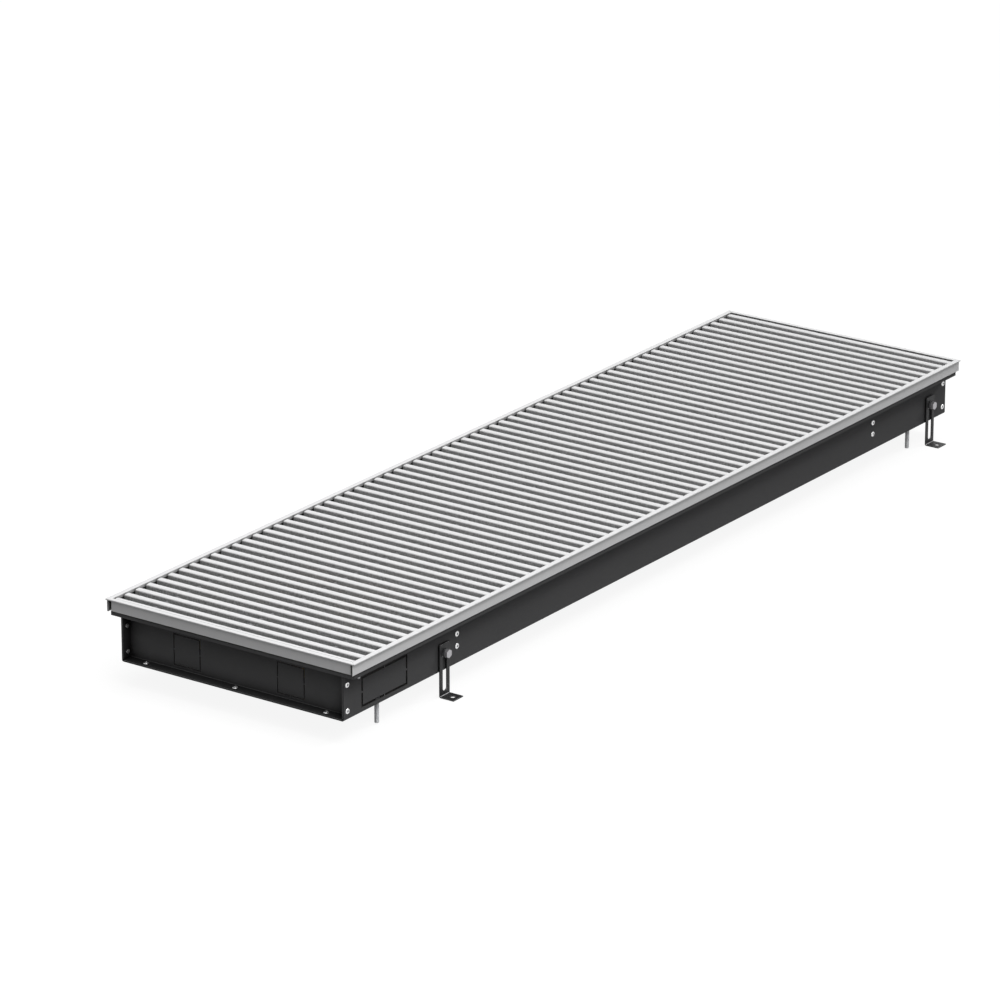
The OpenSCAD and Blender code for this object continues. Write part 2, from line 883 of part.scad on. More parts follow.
// The end plate is a tray: flanges on all four sides point out of the trough's end, and the lip
// of the upper one runs on to the lips of the long walls
module end_plate() {
    side_flange_z = tray_bottom + sheet_t + flange_relief;
    side_flange_h = -skirt_depth - sheet_t - flange_relief - side_flange_z;
    lip_tab = (frame_width - tray_w) / 2 - lip_inset + sheet_t;
    color("#262628")
        difference() {
            union() {
                end_run(tray_w)
                    polygon(concat(
                        flange_outside(plate_in),
                        arc(plate_in - bend_r, tray_bottom + bend_r, bend_r, 0, -90),
                        [[end_inset, tray_bottom], [end_inset, tray_bottom + sheet_t]],
                        arc(plate_in - bend_r, tray_bottom + bend_r, bend_r - sheet_t, -90, 0),
                        flange_inside(plate_in)
                    ));
                front_and_back() {
                    translate([end_inset - half_l, -tray_w / 2, top_z + side_flange_z])
                        cube([recess + sheet_t / 2, sheet_t, side_flange_h]);
                    translate([lip_inset - half_l, lip_inset - half_w, top_z - skirt_depth - lip_h])
                        cube([sheet_t, lip_tab, lip_h - slip]);
                }
            }
            for (y = [-connection_offset, connection_offset])
                on_near_plate(y, connection_depth)
                    knockout(end_knockout, end_knockout, end_cut_line_w, end_tie_w);
            front_and_back()
                at_wall_rivets()
                    wall_hole(rivet_r);
            at_floor_rivets()
                wall_hole(rivet_r);
            at_end_screws()
                rail_screw_hole();
        }
}

// A blind rivet with its head on the plane z = 0, through sheets below it
module rivet(grip) {
    crown_r = rivet_head_r * crown_share;
    difference() {
        union() {
            cylinder(r1 = rivet_head_r, r2 = crown_r, h = rivet_head_h);
            translate([0, 0, -grip - rivet_tail_l / 2])
                cylinder(r = rivet_r, h = grip + (rivet_tail_l + rivet_head_h) / 2);
            translate([0, 0, -grip - rivet_tail_l])
                cylinder(r = rivet_tail_r, h = rivet_tail_l);
        }
        translate([0, 0, -grip / 2])
            cylinder(r = rivet_hole_r, h = grip + rivet_head_h);
    }
}

module end_plate_rivets() {
    color("lightgray")
        near_and_far() {
            front_and_back()
                at_wall_rivets()
                    rivet(rivet_grip);
            at_floor_rivets()
                rivet(rivet_grip - slip);
        }
}

// Heat exchanger

// Bracket whose rivets in the front and back walls stand at an inset from the near end
module heat_bracket(rivet_inset) {
    web_x = rivet_inset + bracket_flange_w / 2 - sheet_t - half_l;
    flange_mid = (bracket_upper_depth + bracket_lower_depth) / 2;
    color("#37373a")
        difference() {
            union() {
                translate([web_x, -tray_w / 2, tube_z - bracket_web_h / 2])
                    cube([sheet_t, tray_w, bracket_web_h]);
                front_and_back()
                    translate([
                        rivet_inset - bracket_flange_w / 2 - half_l,
                        -tray_w / 2,
                        top_z - flange_mid - bracket_flange_h / 2
                    ])
                        cube([bracket_flange_w - sheet_t / 2, sheet_t, bracket_flange_h]);
            }
            for (y = tube_places)
                translate([web_x - cut, y, tube_z])
                    bar_x(tube_r + fit, sheet_t + 2 * cut);
            front_and_back()
                for (depth = [bracket_upper_depth, bracket_lower_depth])
                    on_front_wall(rivet_inset - half_l, depth)
                        wall_hole(rivet_r);
        }
}

module bracket_rivets() {
    color("lightgray")
        front_and_back()
            at_bracket_rivets()
                rivet(rivet_grip);
}

module heat_exchanger_fins() {
    color("silver")
        difference() {
            for (i = [0:fin_count - 1])
                translate([first_fin_x + i * fin_pitch - fin_t / 2, -fin_w / 2, tube_z - fin_h / 2])
                    cube([fin_t, fin_w, fin_h]);
            for (y = tube_places)
                translate([first_fin_x - cut, y, tube_z])
                    bar_x(tube_r + fit, last_fin_x - first_fin_x + 2 * cut);
        }
}

module copper_tube(place, from) {
    length = far_tube_x - from;
    color("#b87333")
        translate([from, tube_places[place], tube_z])
            difference() {
                bar_x(tube_r, length);
                translate([-cut, 0, 0])
                    bar_x(tube_r - tube_wall, length + 2 * cut);
            }
}

// A half turn of pipe about the origin, on the side of +X
module half_turn(r) {
    rotate([0, 0, -90])
        rotate_extrude(angle = 180)
            translate([tube_pitch / 2, 0])
                circle(r = r);
}

// A return bend whose tubes arrive from -X and end at the plane x = 0
module return_bend() {
    waterway = tube_r - tube_wall;
    socket_r = tube_r + fit;
    color("#c07a3e")
        difference() {
            union() {
                half_turn(waterway + bend_wall);
                front_and_back()
                    translate([-bend_socket_l, tube_pitch / 2, 0])
                        bar_x(socket_r + bend_socket_wall, bend_socket_l + bend_wall);
            }
            half_turn(waterway);
            front_and_back()
                translate([-bend_socket_l - cut, tube_pitch / 2, 0])
                    bar_x(socket_r, bend_socket_l + cut + slip);
        }
}

module far_return_bend(side) {
    translate([far_tube_x, side * (connection_offset - tube_pitch / 2), tube_z])
        return_bend();
}

module near_return_bend() {
    translate([inner_tube_x, 0, tube_z])
        mirror([1, 0, 0])
            return_bend();
}

// Water connections

// A connection with its mouth at the plane x = 0, facing -X
module connection_body(vented) {
    color("#c9a84c")
        difference() {
            union() {
                rotate([0, 90, 0])
                    cylinder(r = hex_r(connection_af), h = connection_hex_l, $fn = 6);
                bar_x(neck_r, connection_l);
                if (vented)
                    translate([vent_offset, 0, 0])
                        cylinder(r = vent_boss_r, h = vent_boss_h);
            }
            translate([-cut, 0, 0])
                bar_x(thread_r, thread_l + cut);
            bar_x(waterway_r, connection_l);
            translate([connection_l - tube_socket_l - slip, 0, 0])
                bar_x(tube_r + fit, tube_socket_l + slip + cut);
            if (vented)
                translate([vent_offset, 0, 0]) {
                    cylinder(r = vent_channel_r, h = vent_boss_h);
                    translate([0, 0, vent_boss_h - vent_thread_l - slip])
                        cylinder(r = vent_r + fit, h = vent_thread_l + slip + cut);
                }
        }
}

module at_connection(side) {
    translate([connection_inset - half_l, side * connection_offset, tube_z])
        children();
}

module flow_connection() {
    at_connection(-1)
        connection_body(false);
}

module return_connection() {
    at_connection(1)
        connection_body(true);
}

module vent_screw() {
    head_z = vent_boss_h + turn_gap;
    color("gainsboro")
        at_connection(1)
            translate([vent_offset, 0, 0])
                difference() {
                    union() {
                        translate([0, 0, vent_boss_h - vent_thread_l])
                            cylinder(r = vent_r, h = vent_thread_l + vent_head_h / 2);
                        translate([0, 0, head_z])
                            cylinder(r = vent_head_r, h = vent_head_h);
                    }
                    translate([-vent_head_r - cut, -driver_slot_w / 2, head_z + vent_head_h - driver_slot_h])
                        cube([2 * (vent_head_r + cut), driver_slot_w, driver_slot_h + cut]);
                }
}

// Feet, their bolts and the levelling screws

// A foot of the front side, about a place along X
module foot(x) {
    bend_u = foot_in - foot_bend_r;
    color("#3a3a3c")
        difference() {
            translate([x - foot_w / 2, -half_w, 0])
                rotate([90, 0, 90])
                    linear_extrude(foot_w)
                        polygon(concat(
                            [[-foot_toe, 0]],
                            arc(bend_u, foot_bend_r, foot_bend_r, -90, 0),
                            [[foot_in, foot_top_z], [foot_face_inset, foot_top_z]],
                            arc(bend_u, foot_bend_r, foot_bend_r - foot_t, 0, -90),
                            [[-foot_toe, foot_t]]
                        ));
            translate([x, foot_in + cut - half_w, 0])
                rotate([90, 0, 0])
                    linear_extrude(foot_t + 2 * cut)
                        upright_slot(foot_slot_w / 2, foot_slot_base, slot_top_z);
            translate([x, foot_hole_inset - half_w, -cut])
                cylinder(r = foot_hole_r, h = foot_t + 2 * cut);
        }
}

// A slot with round ends, from a lowest to a highest point
module upright_slot(r, low, high) {
    translate([-r, low + r])
        square([2 * r, high - low - 2 * r]);
    translate([0, low + r])
        circle(r = r);
    translate([0, high - r])
        circle(r = r);
}

// Turns its children so that +Z points out of the front, from a given inset
module at_foot_axis(x, inset) {
    translate([x, inset - half_w, bolt_z])
        rotate([90, 0, 0])
            children();
}

module foot_bolt(x) {
    color("silver") {
        at_foot_axis(x, bolt_head_back)
            rotate([0, 0, 30])
                cylinder(r = hex_r(bolt_af), h = bolt_head_h, $fn = 6);
        at_foot_axis(x, bolt_head_back + bolt_l)
            cylinder(r = bolt_r, h = bolt_l + bolt_head_h / 2);
    }
}

module lock_nut(x) {
    color("gray")
        at_foot_axis(x, lock_nut_front + lock_nut_h)
            difference() {
                cylinder(r = hex_r(bolt_af), h = lock_nut_h, $fn = 6);
                translate([0, 0, -cut])
                    cylinder(r = bolt_r + fit, h = lock_nut_h + 2 * cut);
            }
}

// A rivet nut with its flange on the outer side, z = 0, and its body behind the sheet
module rivet_nut() {
    difference() {
        union() {
            cylinder(r = rivet_nut_flange_r, h = rivet_nut_flange_t);
            translate([0, 0, -rivet_nut_l])
                cylinder(r = rivet_nut_r, h = rivet_nut_l + rivet_nut_flange_t / 2);
        }
        translate([0, 0, -rivet_nut_l - cut])
            cylinder(r = bolt_r + fit, h = rivet_nut_l + rivet_nut_flange_t + 2 * cut);
    }
}

module wall_rivet_nuts() {
    color("gray")
        front_and_back()
            at_foot_bolts()
                rivet_nut();
}

module floor_rivet_nuts() {
    color("gray")
        near_and_far()
            front_and_back()
                at_levelling_screw()
                    mirror([0, 0, 1])
                        rivet_nut();
}

// A levelling screw at the near end of the front, with its tip just above the slab
module levelling_screw() {
    color("silver")
        translate([levelling_inset - half_l, levelling_side_inset - half_w, levelling_tip])
            difference() {
                union() {
                    cylinder(r1 = bolt_r - levelling_bevel, r2 = bolt_r, h = levelling_bevel);
                    translate([0, 0, levelling_bevel])
                        cylinder(r = bolt_r, h = levelling_l - levelling_bevel);
                }
                translate([0, 0, levelling_l - levelling_socket_l])
                    cylinder(r = hex_r(levelling_socket_af), h = levelling_socket_l + cut, $fn = 6);
            }
}

// Earth terminal

module earth_screw() {
    crown_r = earth_head_r * crown_share;
    grip = sheet_t + earth_nut_h + slip;
    color("gainsboro")
        on_front_wall(earth_inset - half_l, earth_depth)
            difference() {
                union() {
                    cylinder(r1 = earth_head_r, r2 = crown_r, h = earth_head_h);
                    translate([0, 0, -grip])
                        cylinder(r = earth_r, h = grip + earth_head_h / 2);
                    translate([0, 0, -earth_l])
                        cylinder(r = earth_thread_r, h = earth_l);
                }
                translate([-earth_head_r, -driver_slot_w / 2, earth_head_h - driver_slot_h])
                    cube([2 * earth_head_r, driver_slot_w, driver_slot_h + cut]);
            }
}

module earth_nut() {
    color("lightgray")
        on_front_wall(earth_inset - half_l, earth_depth)
            translate([0, 0, -sheet_t - earth_nut_h])
                difference() {
                    cylinder(r = hex_r(earth_nut_af), h = earth_nut_h, $fn = 6);
                    translate([0, 0, -cut])
                        cylinder(r = earth_r + fit, h = earth_nut_h + 2 * cut);
                }
}

grille_slats();
grille_end_bar();
grille_rods();
rod_sleeves();
rod_nuts();
frame_side();  // frame_front
mirror([0, 1, 0]) frame_side();  // frame_back
frame_end();  // frame_near_end
mirror([1, 0, 0]) frame_end();  // frame_far_end
corner_keys();
seat_rail_side();  // seat_rail_front
mirror([0, 1, 0]) seat_rail_side();  // seat_rail_back
seat_rail_end();  // seat_rail_near
mirror([1, 0, 0]) seat_rail_end();  // seat_rail_far
damping_strip_side();  // damping_strip_front
mirror([0, 1, 0]) damping_strip_side();  // damping_strip_back
damping_strip_end();  // damping_strip_near
mirror([1, 0, 0]) damping_strip_end();  // damping_strip_far
rail_screws();
rail_screw_nuts();
casing();
end_plate();  // end_plate_near
mirror([1, 0, 0]) end_plate();  // end_plate_far
end_plate_rivets();
heat_bracket(near_bracket_inset);  // bracket_near
mirror([1, 0, 0]) heat_bracket(far_bracket_inset);  // bracket_far
bracket_rivets();
heat_exchanger_fins();
copper_tube(0, outer_tube_x);  // tube_outer_front
copper_tube(1, inner_tube_x);  // tube_inner_front
copper_tube(2, inner_tube_x);  // tube_inner_back
copper_tube(3, outer_tube_x);  // tube_outer_back
far_return_bend(-1);  // return_bend_front
far_return_bend(1);  // return_bend_back
near_return_bend();  // return_bend_near
flow_connection();
return_connection();
vent_screw();
foot(near_foot_x);  // foot_near_front
mirror([0, 1, 0]) foot(near_foot_x);  // foot_near_back
foot(far_foot_x);  // foot_far_front
mirror([0, 1, 0]) foot(far_foot_x);  // foot_far_back
foot_bolt(near_foot_x);  // foot_bolt_near_front
mirror([0, 1, 0]) foot_bolt(near_foot_x);  // foot_bolt_near_back
foot_bolt(far_foot_x);  // foot_bolt_far_front
mirror([0, 1, 0]) foot_bolt(far_foot_x);  // foot_bolt_far_back
lock_nut(near_foot_x);  // lock_nut_near_front
mirror([0, 1, 0]) lock_nut(near_foot_x);  // lock_nut_near_back
lock_nut(far_foot_x);  // lock_nut_far_front
mirror([0, 1, 0]) lock_nut(far_foot_x);  // lock_nut_far_back
wall_rivet_nuts();
levelling_screw();  // levelling_screw_near_front
mirror([0, 1, 0]) levelling_screw();  // levelling_screw_near_back
mirror([1, 0, 0]) levelling_screw();  // levelling_screw_far_front
mirror([1, 0, 0]) mirror([0, 1, 0]) levelling_screw();  // levelling_screw_far_back
floor_rivet_nuts();
earth_screw();
earth_nut();
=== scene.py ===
import functools
import json
import math

import bmesh
import bpy
from bpy.props import FloatProperty, FloatVectorProperty, IntProperty, PointerProperty
from mathutils import Matrix, Vector

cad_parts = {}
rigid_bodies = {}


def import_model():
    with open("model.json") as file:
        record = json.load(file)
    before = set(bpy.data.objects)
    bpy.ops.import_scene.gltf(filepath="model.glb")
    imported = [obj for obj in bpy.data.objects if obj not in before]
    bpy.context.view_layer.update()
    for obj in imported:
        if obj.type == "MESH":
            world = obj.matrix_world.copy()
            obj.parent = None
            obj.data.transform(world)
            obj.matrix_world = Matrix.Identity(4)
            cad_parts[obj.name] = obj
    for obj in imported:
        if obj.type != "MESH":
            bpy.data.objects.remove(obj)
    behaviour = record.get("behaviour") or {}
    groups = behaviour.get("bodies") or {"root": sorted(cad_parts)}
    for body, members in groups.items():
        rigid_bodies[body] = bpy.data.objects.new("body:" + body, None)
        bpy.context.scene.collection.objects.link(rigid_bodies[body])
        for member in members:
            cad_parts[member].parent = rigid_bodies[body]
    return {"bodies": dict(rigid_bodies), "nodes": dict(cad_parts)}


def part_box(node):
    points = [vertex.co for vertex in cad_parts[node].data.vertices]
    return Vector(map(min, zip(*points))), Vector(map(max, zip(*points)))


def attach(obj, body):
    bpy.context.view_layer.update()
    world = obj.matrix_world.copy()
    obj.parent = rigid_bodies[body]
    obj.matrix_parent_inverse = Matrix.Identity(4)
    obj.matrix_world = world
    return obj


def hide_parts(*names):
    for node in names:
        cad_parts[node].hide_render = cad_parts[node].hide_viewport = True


bl_info = {
    "name": "Trench Heater Looks",
    "version": (1, 0, 0),
    "blender": (4, 5, 0),
    "location": "View3D > Sidebar > Trench Heater",
    "description": "Dresses a packed trench convector heater with modelled pieces, finishes and a studio",
    "category": "Object",
}

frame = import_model()
NODES = frame["nodes"]

ENDS = ("near", "far")
SIDES = ("front", "back")
CORNERS = tuple(end + "_" + side for end in ENDS for side in SIDES)
MM = 0.001
UP = Vector((0, 0, 1))
GREY = (0.5, 0.5, 0.5, 1)
WEAR_AND_HIGHLIGHT_REACH = 0.3 * MM
SAME_POINT = 0.002 * MM


# Settings that a user would change


def millimetres(name, about, default, low, high):
    """A length, given in millimetres and held in metres."""
    return FloatProperty(name=name, description=about, default=default * MM, min=low * MM, max=high * MM,
                         subtype="DISTANCE", unit="LENGTH")


def amount(name, about, default, high, **kinds):
    """A number from zero up."""
    return FloatProperty(name=name, description=about, default=default, min=0, max=high, **kinds)


def paint(name, about, default):
    """A colour."""
    return FloatVectorProperty(name=name, description=about, default=default, min=0, max=1, subtype="COLOR")


class SlatSettings(bpy.types.PropertyGroup):
    """Shape of the grille's slats"""

    edge_radius: millimetres("Edge Radius", "Radius of a slat's upper edges", 2, 0.5, 4)
    foot_radius: millimetres("Foot Radius", "Radius of a slat's lower edges", 0.5, 0.1, 1)
    wall: millimetres("Wall", "Wall of the hollow slats", 1.2, 0.8, 2)
    end_bevel: millimetres("End Bevel", "Bevel on the sawn ends", 0.25, 0.05, 0.5)
    edge_steps: IntProperty(
        name="Edge Steps", description="Steps in each upper edge's quarter circle", default=8, min=3, max=16)


class HardwareSettings(bpy.types.PropertyGroup):
    """Shape of the screws, nuts and rivets"""

    thread_pitch: millimetres("Thread Pitch", "Pitch of the foot bolts and levelling screws", 1, 0.5, 2)
    thread_depth: millimetres("Thread Depth", "Depth of that thread", 0.35, 0.1, 1)
    thread_lead: millimetres("Thread Lead", "Length over which a thread starts and ends", 0.8, 0.2, 2)
    chamfer_angle: FloatProperty(
        name="Chamfer Angle", description="Slope of the chamfer on hexagon heads and nuts",
        default=math.radians(30), min=math.radians(10), max=math.radians(45), subtype="ANGLE",
        unit="ROTATION")
    turn_steps: IntProperty(
        name="Turn Steps", description="Steps round a rivet or a connection", default=36, min=12, max=96)
    thread_steps: IntProperty(
        name="Thread Steps", description="Steps round a threaded shank", default=28, min=12, max=96)


class SheetSettings(bpy.types.PropertyGroup):
    """Softened edges of the pieces that keep their CAD shape"""

    extrusion_edge: millimetres("Extrusion Edge", "Bevel on the edges of the frame", 0.25, 0.05, 0.6)
    sheet_edge: millimetres("Sheet Edge", "Bevel on the cut edges of the feet", 0.18, 0.05, 0.5)
    small_edge: millimetres("Small Edge", "Bevel on the edges of small pieces", 0.15, 0.02, 0.3)


class FinishSettings(bpy.types.PropertyGroup):
    """Colours of the finishes"""

    anodised: paint("Anodised Aluminium", "Colour of the slats and the frame", (0.80, 0.80, 0.805))
    mill: paint("Plain Aluminium", "Colour of the seat rails", (0.62, 0.62, 0.63))
    casing: paint("Casing Coat", "Colour of the powder coat on the trough", (0.094, 0.094, 0.096))
    foot: paint("Foot Coat", "Colour of the powder coat on the feet", (0.024, 0.024, 0.025))
    zinc: paint("Zinc Plate", "Colour of the small screws and the levelling screws", (0.56, 0.57, 0.58))
    bolt: paint("Bolt Steel", "Colour of the foot bolts", (0.50, 0.49, 0.51))
    copper: paint("Copper", "Colour of the tubes and return bends", (0.80, 0.42, 0.26))
    brass: paint("Brass", "Colour of the water connections", (0.72, 0.56, 0.28))


class StudioSettings(bpy.types.PropertyGroup):
    """Lights, floor and camera"""

    sky_strength: amount("Sky Strength", "Strength of the even light from all round", 0.09, 2)
    top_strength: amount("Top Light", "Strength of the wide soft light overhead", 1.86, 10)
    top_spread: amount("Top Spread", "How wide the overhead light is", math.radians(45), math.radians(170),
                       subtype="ANGLE", unit="ROTATION")
    front_power: amount("Front Light", "Power of the soft panel before the long side", 25, 500,
                        subtype="POWER")
    side_strength: amount("Side Light", "Strength of the small light beyond the far end", 0.7, 10)
    floor_colour: paint("Floor", "Colour of the floor as the heater sees it", (0.15, 0.15, 0.15))
    floor_lift: amount("Floor Lift", "How much paler the camera and reflections see the floor", 0.90, 1)
    camera_place: FloatVectorProperty(
        name="Camera Place", description="Where the camera stands",
        default=(-5.77335, -4.01010, 2.63203), subtype="TRANSLATION", unit="LENGTH")
    camera_turn: FloatVectorProperty(
        name="Camera Turn", description="Which way the camera looks",
        default=(math.radians(70), 0, math.radians(-54.602)), subtype="EULER", unit="ROTATION")
    camera_lens: FloatProperty(
        name="Lens", description="Focal length in millimetres, on the sensor of the stage's camera",
        default=205.74, min=20, max=500, unit="CAMERA")


# Shader nodes


class Sketch:
    """Adds nodes to a material or a node group, linked by socket name."""

    def __init__(self, tree):
        self.tree = tree

    def add(self, kind, inputs=None, **settings):
        node = self.tree.nodes.new(kind)
        for name, value in settings.items():
            setattr(node, name, value)
        for name, value in (inputs or {}).items():
            self.feed(node.inputs[name], value)
        return node

    def feed(self, socket, value):
        if isinstance(value, bpy.types.NodeSocket):
            self.tree.links.new(value, socket)
        else:
            socket.default_value = value

    def math(self, operation, first, second=0.0, clamp=False):
        node = self.add("ShaderNodeMath", {0: first, 1: second}, operation=operation, use_clamp=clamp)
        return node.outputs[0]

    def blend(self, factor, first, second, kind="MIX"):
        node = self.add("ShaderNodeMix", {0: factor, 6: first, 7: second}, data_type="RGBA", blend_type=kind)
        return node.outputs[2]

    def spread(self, value, low, high, to_low, to_high):
        node = self.add("ShaderNodeMapRange", {
            "Value": value, "From Min": low, "From Max": high, "To Min": to_low, "To Max": to_high})
        return node.outputs["Result"]

    def place(self, scale):
        """The piece's own coordinates in metres, times a scale for each axis."""
        coordinates = self.add("ShaderNodeTexCoord").outputs["Object"]
        return self.add("ShaderNodeVectorMath", {0: coordinates, 1: scale}, operation="MULTIPLY").outputs[0]

    def noise(self, scale, detail=3.0, vector=None):
        vector = vector or self.add("ShaderNodeTexCoord").outputs["Object"]
        node = self.add("ShaderNodeTexNoise", {"Vector": vector, "Scale": scale, "Detail": detail})
        return node.outputs[0]

    def grey(self, value):
        """A colour with one value in all three parts."""
        return self.add("ShaderNodeCombineColor", {"Red": value, "Green": value, "Blue": value}).outputs[0]

    def tinted(self, colour, share):
        """A colour times a grey share."""
        return self.blend(1.0, colour, self.grey(share), "MULTIPLY")

    def facing(self, axis, kind="Normal"):
        """How far a face looks along an axis, from -1 to 1."""
        normal = self.add("ShaderNodeNewGeometry").outputs[kind]
        return self.add("ShaderNodeSeparateXYZ", {"Vector": normal}).outputs[axis]

    def pale_rays(self):
        """One for the rays that see a pale studio: the camera's, and those off metal or through glass."""
        path = self.add("ShaderNodeLightPath").outputs
        seen = self.math("MAXIMUM", path["Is Camera Ray"], path["Is Glossy Ray"])
        return self.math("MAXIMUM", seen, path["Is Transmission Ray"])

    def cover(self, entry, leave, mask, colour, amount=1.0):
        """Leaves a mask times an amount, and the entry's colour with another one over it there."""
        mask = self.math("MULTIPLY", mask, amount, clamp=True)
        self.feed(leave["Colour"], self.blend(mask, entry["Colour"], colour))
        self.feed(leave["Mask"], mask)

    def group(self, tree, **inputs):
        node = self.add("ShaderNodeGroup", node_tree=tree)
        for name, value in inputs.items():
            self.feed(node.inputs[name.replace("_", " ").title()], value)
        return node.outputs


def new_group(name, inputs, outputs=("Mask",)):
    """A shader node group that takes and leaves a colour, with named sockets and its ends in place."""
    tree = bpy.data.node_groups.new(name, "ShaderNodeTree")
    for label, default in {"Colour": GREY, **inputs}.items():
        kind = "Float" if isinstance(default, float) else "Color" if len(default) == 4 else "Vector"
        socket = tree.interface.new_socket(label, in_out="INPUT", socket_type="NodeSocket" + kind)
        socket.default_value = default
    tree.interface.new_socket("Colour", in_out="OUTPUT", socket_type="NodeSocketColor")
    for label in outputs:
        tree.interface.new_socket(label, in_out="OUTPUT", socket_type="NodeSocketFloat")
    sketch = Sketch(tree)
    entry = sketch.add("NodeGroupInput")
    leave = sketch.add("NodeGroupOutput")
    return tree, sketch, entry.outputs, leave.inputs


@functools.cache
def grain_group():
    """Fine lines along one direction, as an extrusion or a drawn bar has them."""
    tree, sketch, entry, leave = new_group(
        "Drawn Grain", {"Stretch": (400, 400, 400), "Tint": 0.05, "Gloss": 0.4, "Gloss Spread": 0.08},
        ("Roughness", "Height"))
    lines = sketch.noise(1.0, 4.0, sketch.place(entry["Stretch"]))
    clouds = sketch.noise(14.0, 3.0)
    shade = sketch.math("ADD", sketch.math("MULTIPLY", lines, 0.65), sketch.math("MULTIPLY", clouds, 0.35))
    offset = sketch.math("SUBTRACT", shade, 0.5)
    swing = sketch.math("MULTIPLY", offset, 2.0)
    bright = sketch.math("ADD", 1.0, sketch.math("MULTIPLY", swing, entry["Tint"]))
    sketch.feed(leave["Colour"], sketch.tinted(entry["Colour"], bright))
    rough = sketch.math("MULTIPLY", swing, entry["Gloss Spread"])
    sketch.feed(leave["Roughness"], sketch.math("ADD", entry["Gloss"], rough, clamp=True))
    sketch.feed(leave["Height"], lines)
    return tree


@functools.cache
def coat_group():
    """Powder coat: a fine pebbled skin with faint clouds and specks."""
    tree, sketch, entry, leave = new_group(
        "Powder Coat", {"Speck Colour": GREY, "Grain": 900.0, "Specks": 0.3, "Gloss": 0.55},
        ("Roughness", "Height"))
    pebbles = sketch.noise(entry["Grain"], 2.0)
    fine = sketch.noise(sketch.math("MULTIPLY", entry["Grain"], 2.7), 1.0)
    clouds = sketch.noise(9.0, 3.0)
    clouded = sketch.tinted(entry["Colour"], sketch.spread(clouds, 0.3, 0.7, 0.93, 1.07))
    specks = sketch.math("MULTIPLY", sketch.spread(fine, 0.56, 0.72, 0.0, 1.0), entry["Specks"], clamp=True)
    sketch.feed(leave["Colour"], sketch.blend(specks, clouded, entry["Speck Colour"]))
    rough = sketch.math("ADD", entry["Gloss"], sketch.spread(clouds, 0.3, 0.7, -0.04, 0.04))
    pebbled = sketch.spread(pebbles, 0.3, 0.7, -0.03, 0.03)
    sketch.feed(leave["Roughness"], sketch.math("ADD", rough, pebbled, clamp=True))
    sketch.feed(leave["Height"], sketch.math("ADD", pebbles, sketch.math("MULTIPLY", fine, 0.3)))
    return tree


@functools.cache
def wear_and_highlight_group():
    """Rubbed edges with a painted edge highlight: paler where two faces meet, broken up by noise."""
    tree, sketch, entry, leave = new_group(
        "Edge Wear And Highlight", {"Worn Colour": GREY, "Amount": 0.4, "Reach": 0.4 * MM})
    rounded = sketch.add("ShaderNodeBevel", {"Radius": entry["Reach"]}, samples=4).outputs[0]
    flat = sketch.add("ShaderNodeNewGeometry").outputs["Normal"]
    match = sketch.add("ShaderNodeVectorMath", {0: rounded, 1: flat}, operation="DOT_PRODUCT")
    edge = sketch.spread(match.outputs["Value"], 0.985, 0.80, 0.0, 1.0)
    broken = sketch.spread(sketch.noise(260.0, 3.0), 0.35, 0.65, 0.25, 1.0)
    mask = sketch.math("MULTIPLY", edge, broken)
    sketch.cover(entry, leave, mask, entry["Worn Colour"], entry["Amount"])
    return tree


@functools.cache
def crevice_shade_group():
    """Painted shade in slots, gaps and inner corners: the colour goes darker where ambient occlusion finds
    the surface shut in.
    """
    tree, sketch, entry, leave = new_group(
        "Painted Crevice Shade",
        {"Grime Colour": (0.004, 0.004, 0.004, 1), "Amount": 0.9, "Reach": 4 * MM, "Openness": 0.78})
    around = sketch.add("ShaderNodeAmbientOcclusion", {"Distance": entry["Reach"]}, samples=8)
    shut = sketch.spread(around.outputs["AO"], entry["Openness"], 0.35, 0.0, 1.0)
    sketch.cover(entry, leave, shut, entry["Grime Colour"], entry["Amount"])
    return tree


@functools.cache
def dust_group():
    """A thin film of dust on faces that look up."""
    tree, sketch, entry, leave = new_group(
        "Settled Dust", {"Dust Colour": (0.30, 0.29, 0.27, 1), "Amount": 0.1})
    patches = sketch.spread(sketch.noise(60.0, 4.0), 0.35, 0.7, 0.2, 1.0)
    mask = sketch.math("MULTIPLY", sketch.spread(sketch.facing("Z"), 0.2, 1.0, 0.0, 1.0), patches)
    sketch.cover(entry, leave, mask, entry["Dust Colour"], entry["Amount"])
    return tree


@functools.cache
def end_shade_group():
    """Painted shade on the ends of a section that runs along X: near black where its faces look along X."""
    tree, sketch, entry, leave = new_group(
        "Painted End Shade", {"End Shade Colour": (0.006, 0.006, 0.006, 1), "Amount": 1.0})
    along = sketch.math("ABSOLUTE", sketch.facing("X", "True Normal"))
    mask = sketch.spread(along, 0.75, 0.9, 0.0, 1.0)
    sketch.cover(entry, leave, mask, entry["End Shade Colour"], entry["Amount"])
    return tree


@functools.cache
def bend_highlight_group():
    """Painted highlight along a bend between an upright face and a level one, broken up by noise."""
    tree, sketch, entry, leave = new_group(
        "Painted Bend Highlight", {"Highlight Colour": (0.62, 0.62, 0.63, 1), "Amount": 0.8})
    upward = sketch.facing("Z")
    not_upright = sketch.spread(upward, 0.2, 0.4, 0.0, 1.0)
    not_level = sketch.spread(upward, 0.8, 0.95, 1.0, 0.0)
    band = sketch.math("MULTIPLY", not_upright, not_level)
    broken = sketch.spread(sketch.noise(150.0, 3.0), 0.3, 0.6, 0.5, 1.0)
    mask = sketch.math("MULTIPLY", band, broken)
    sketch.cover(entry, leave, mask, entry["Highlight Colour"], entry["Amount"])
    return tree


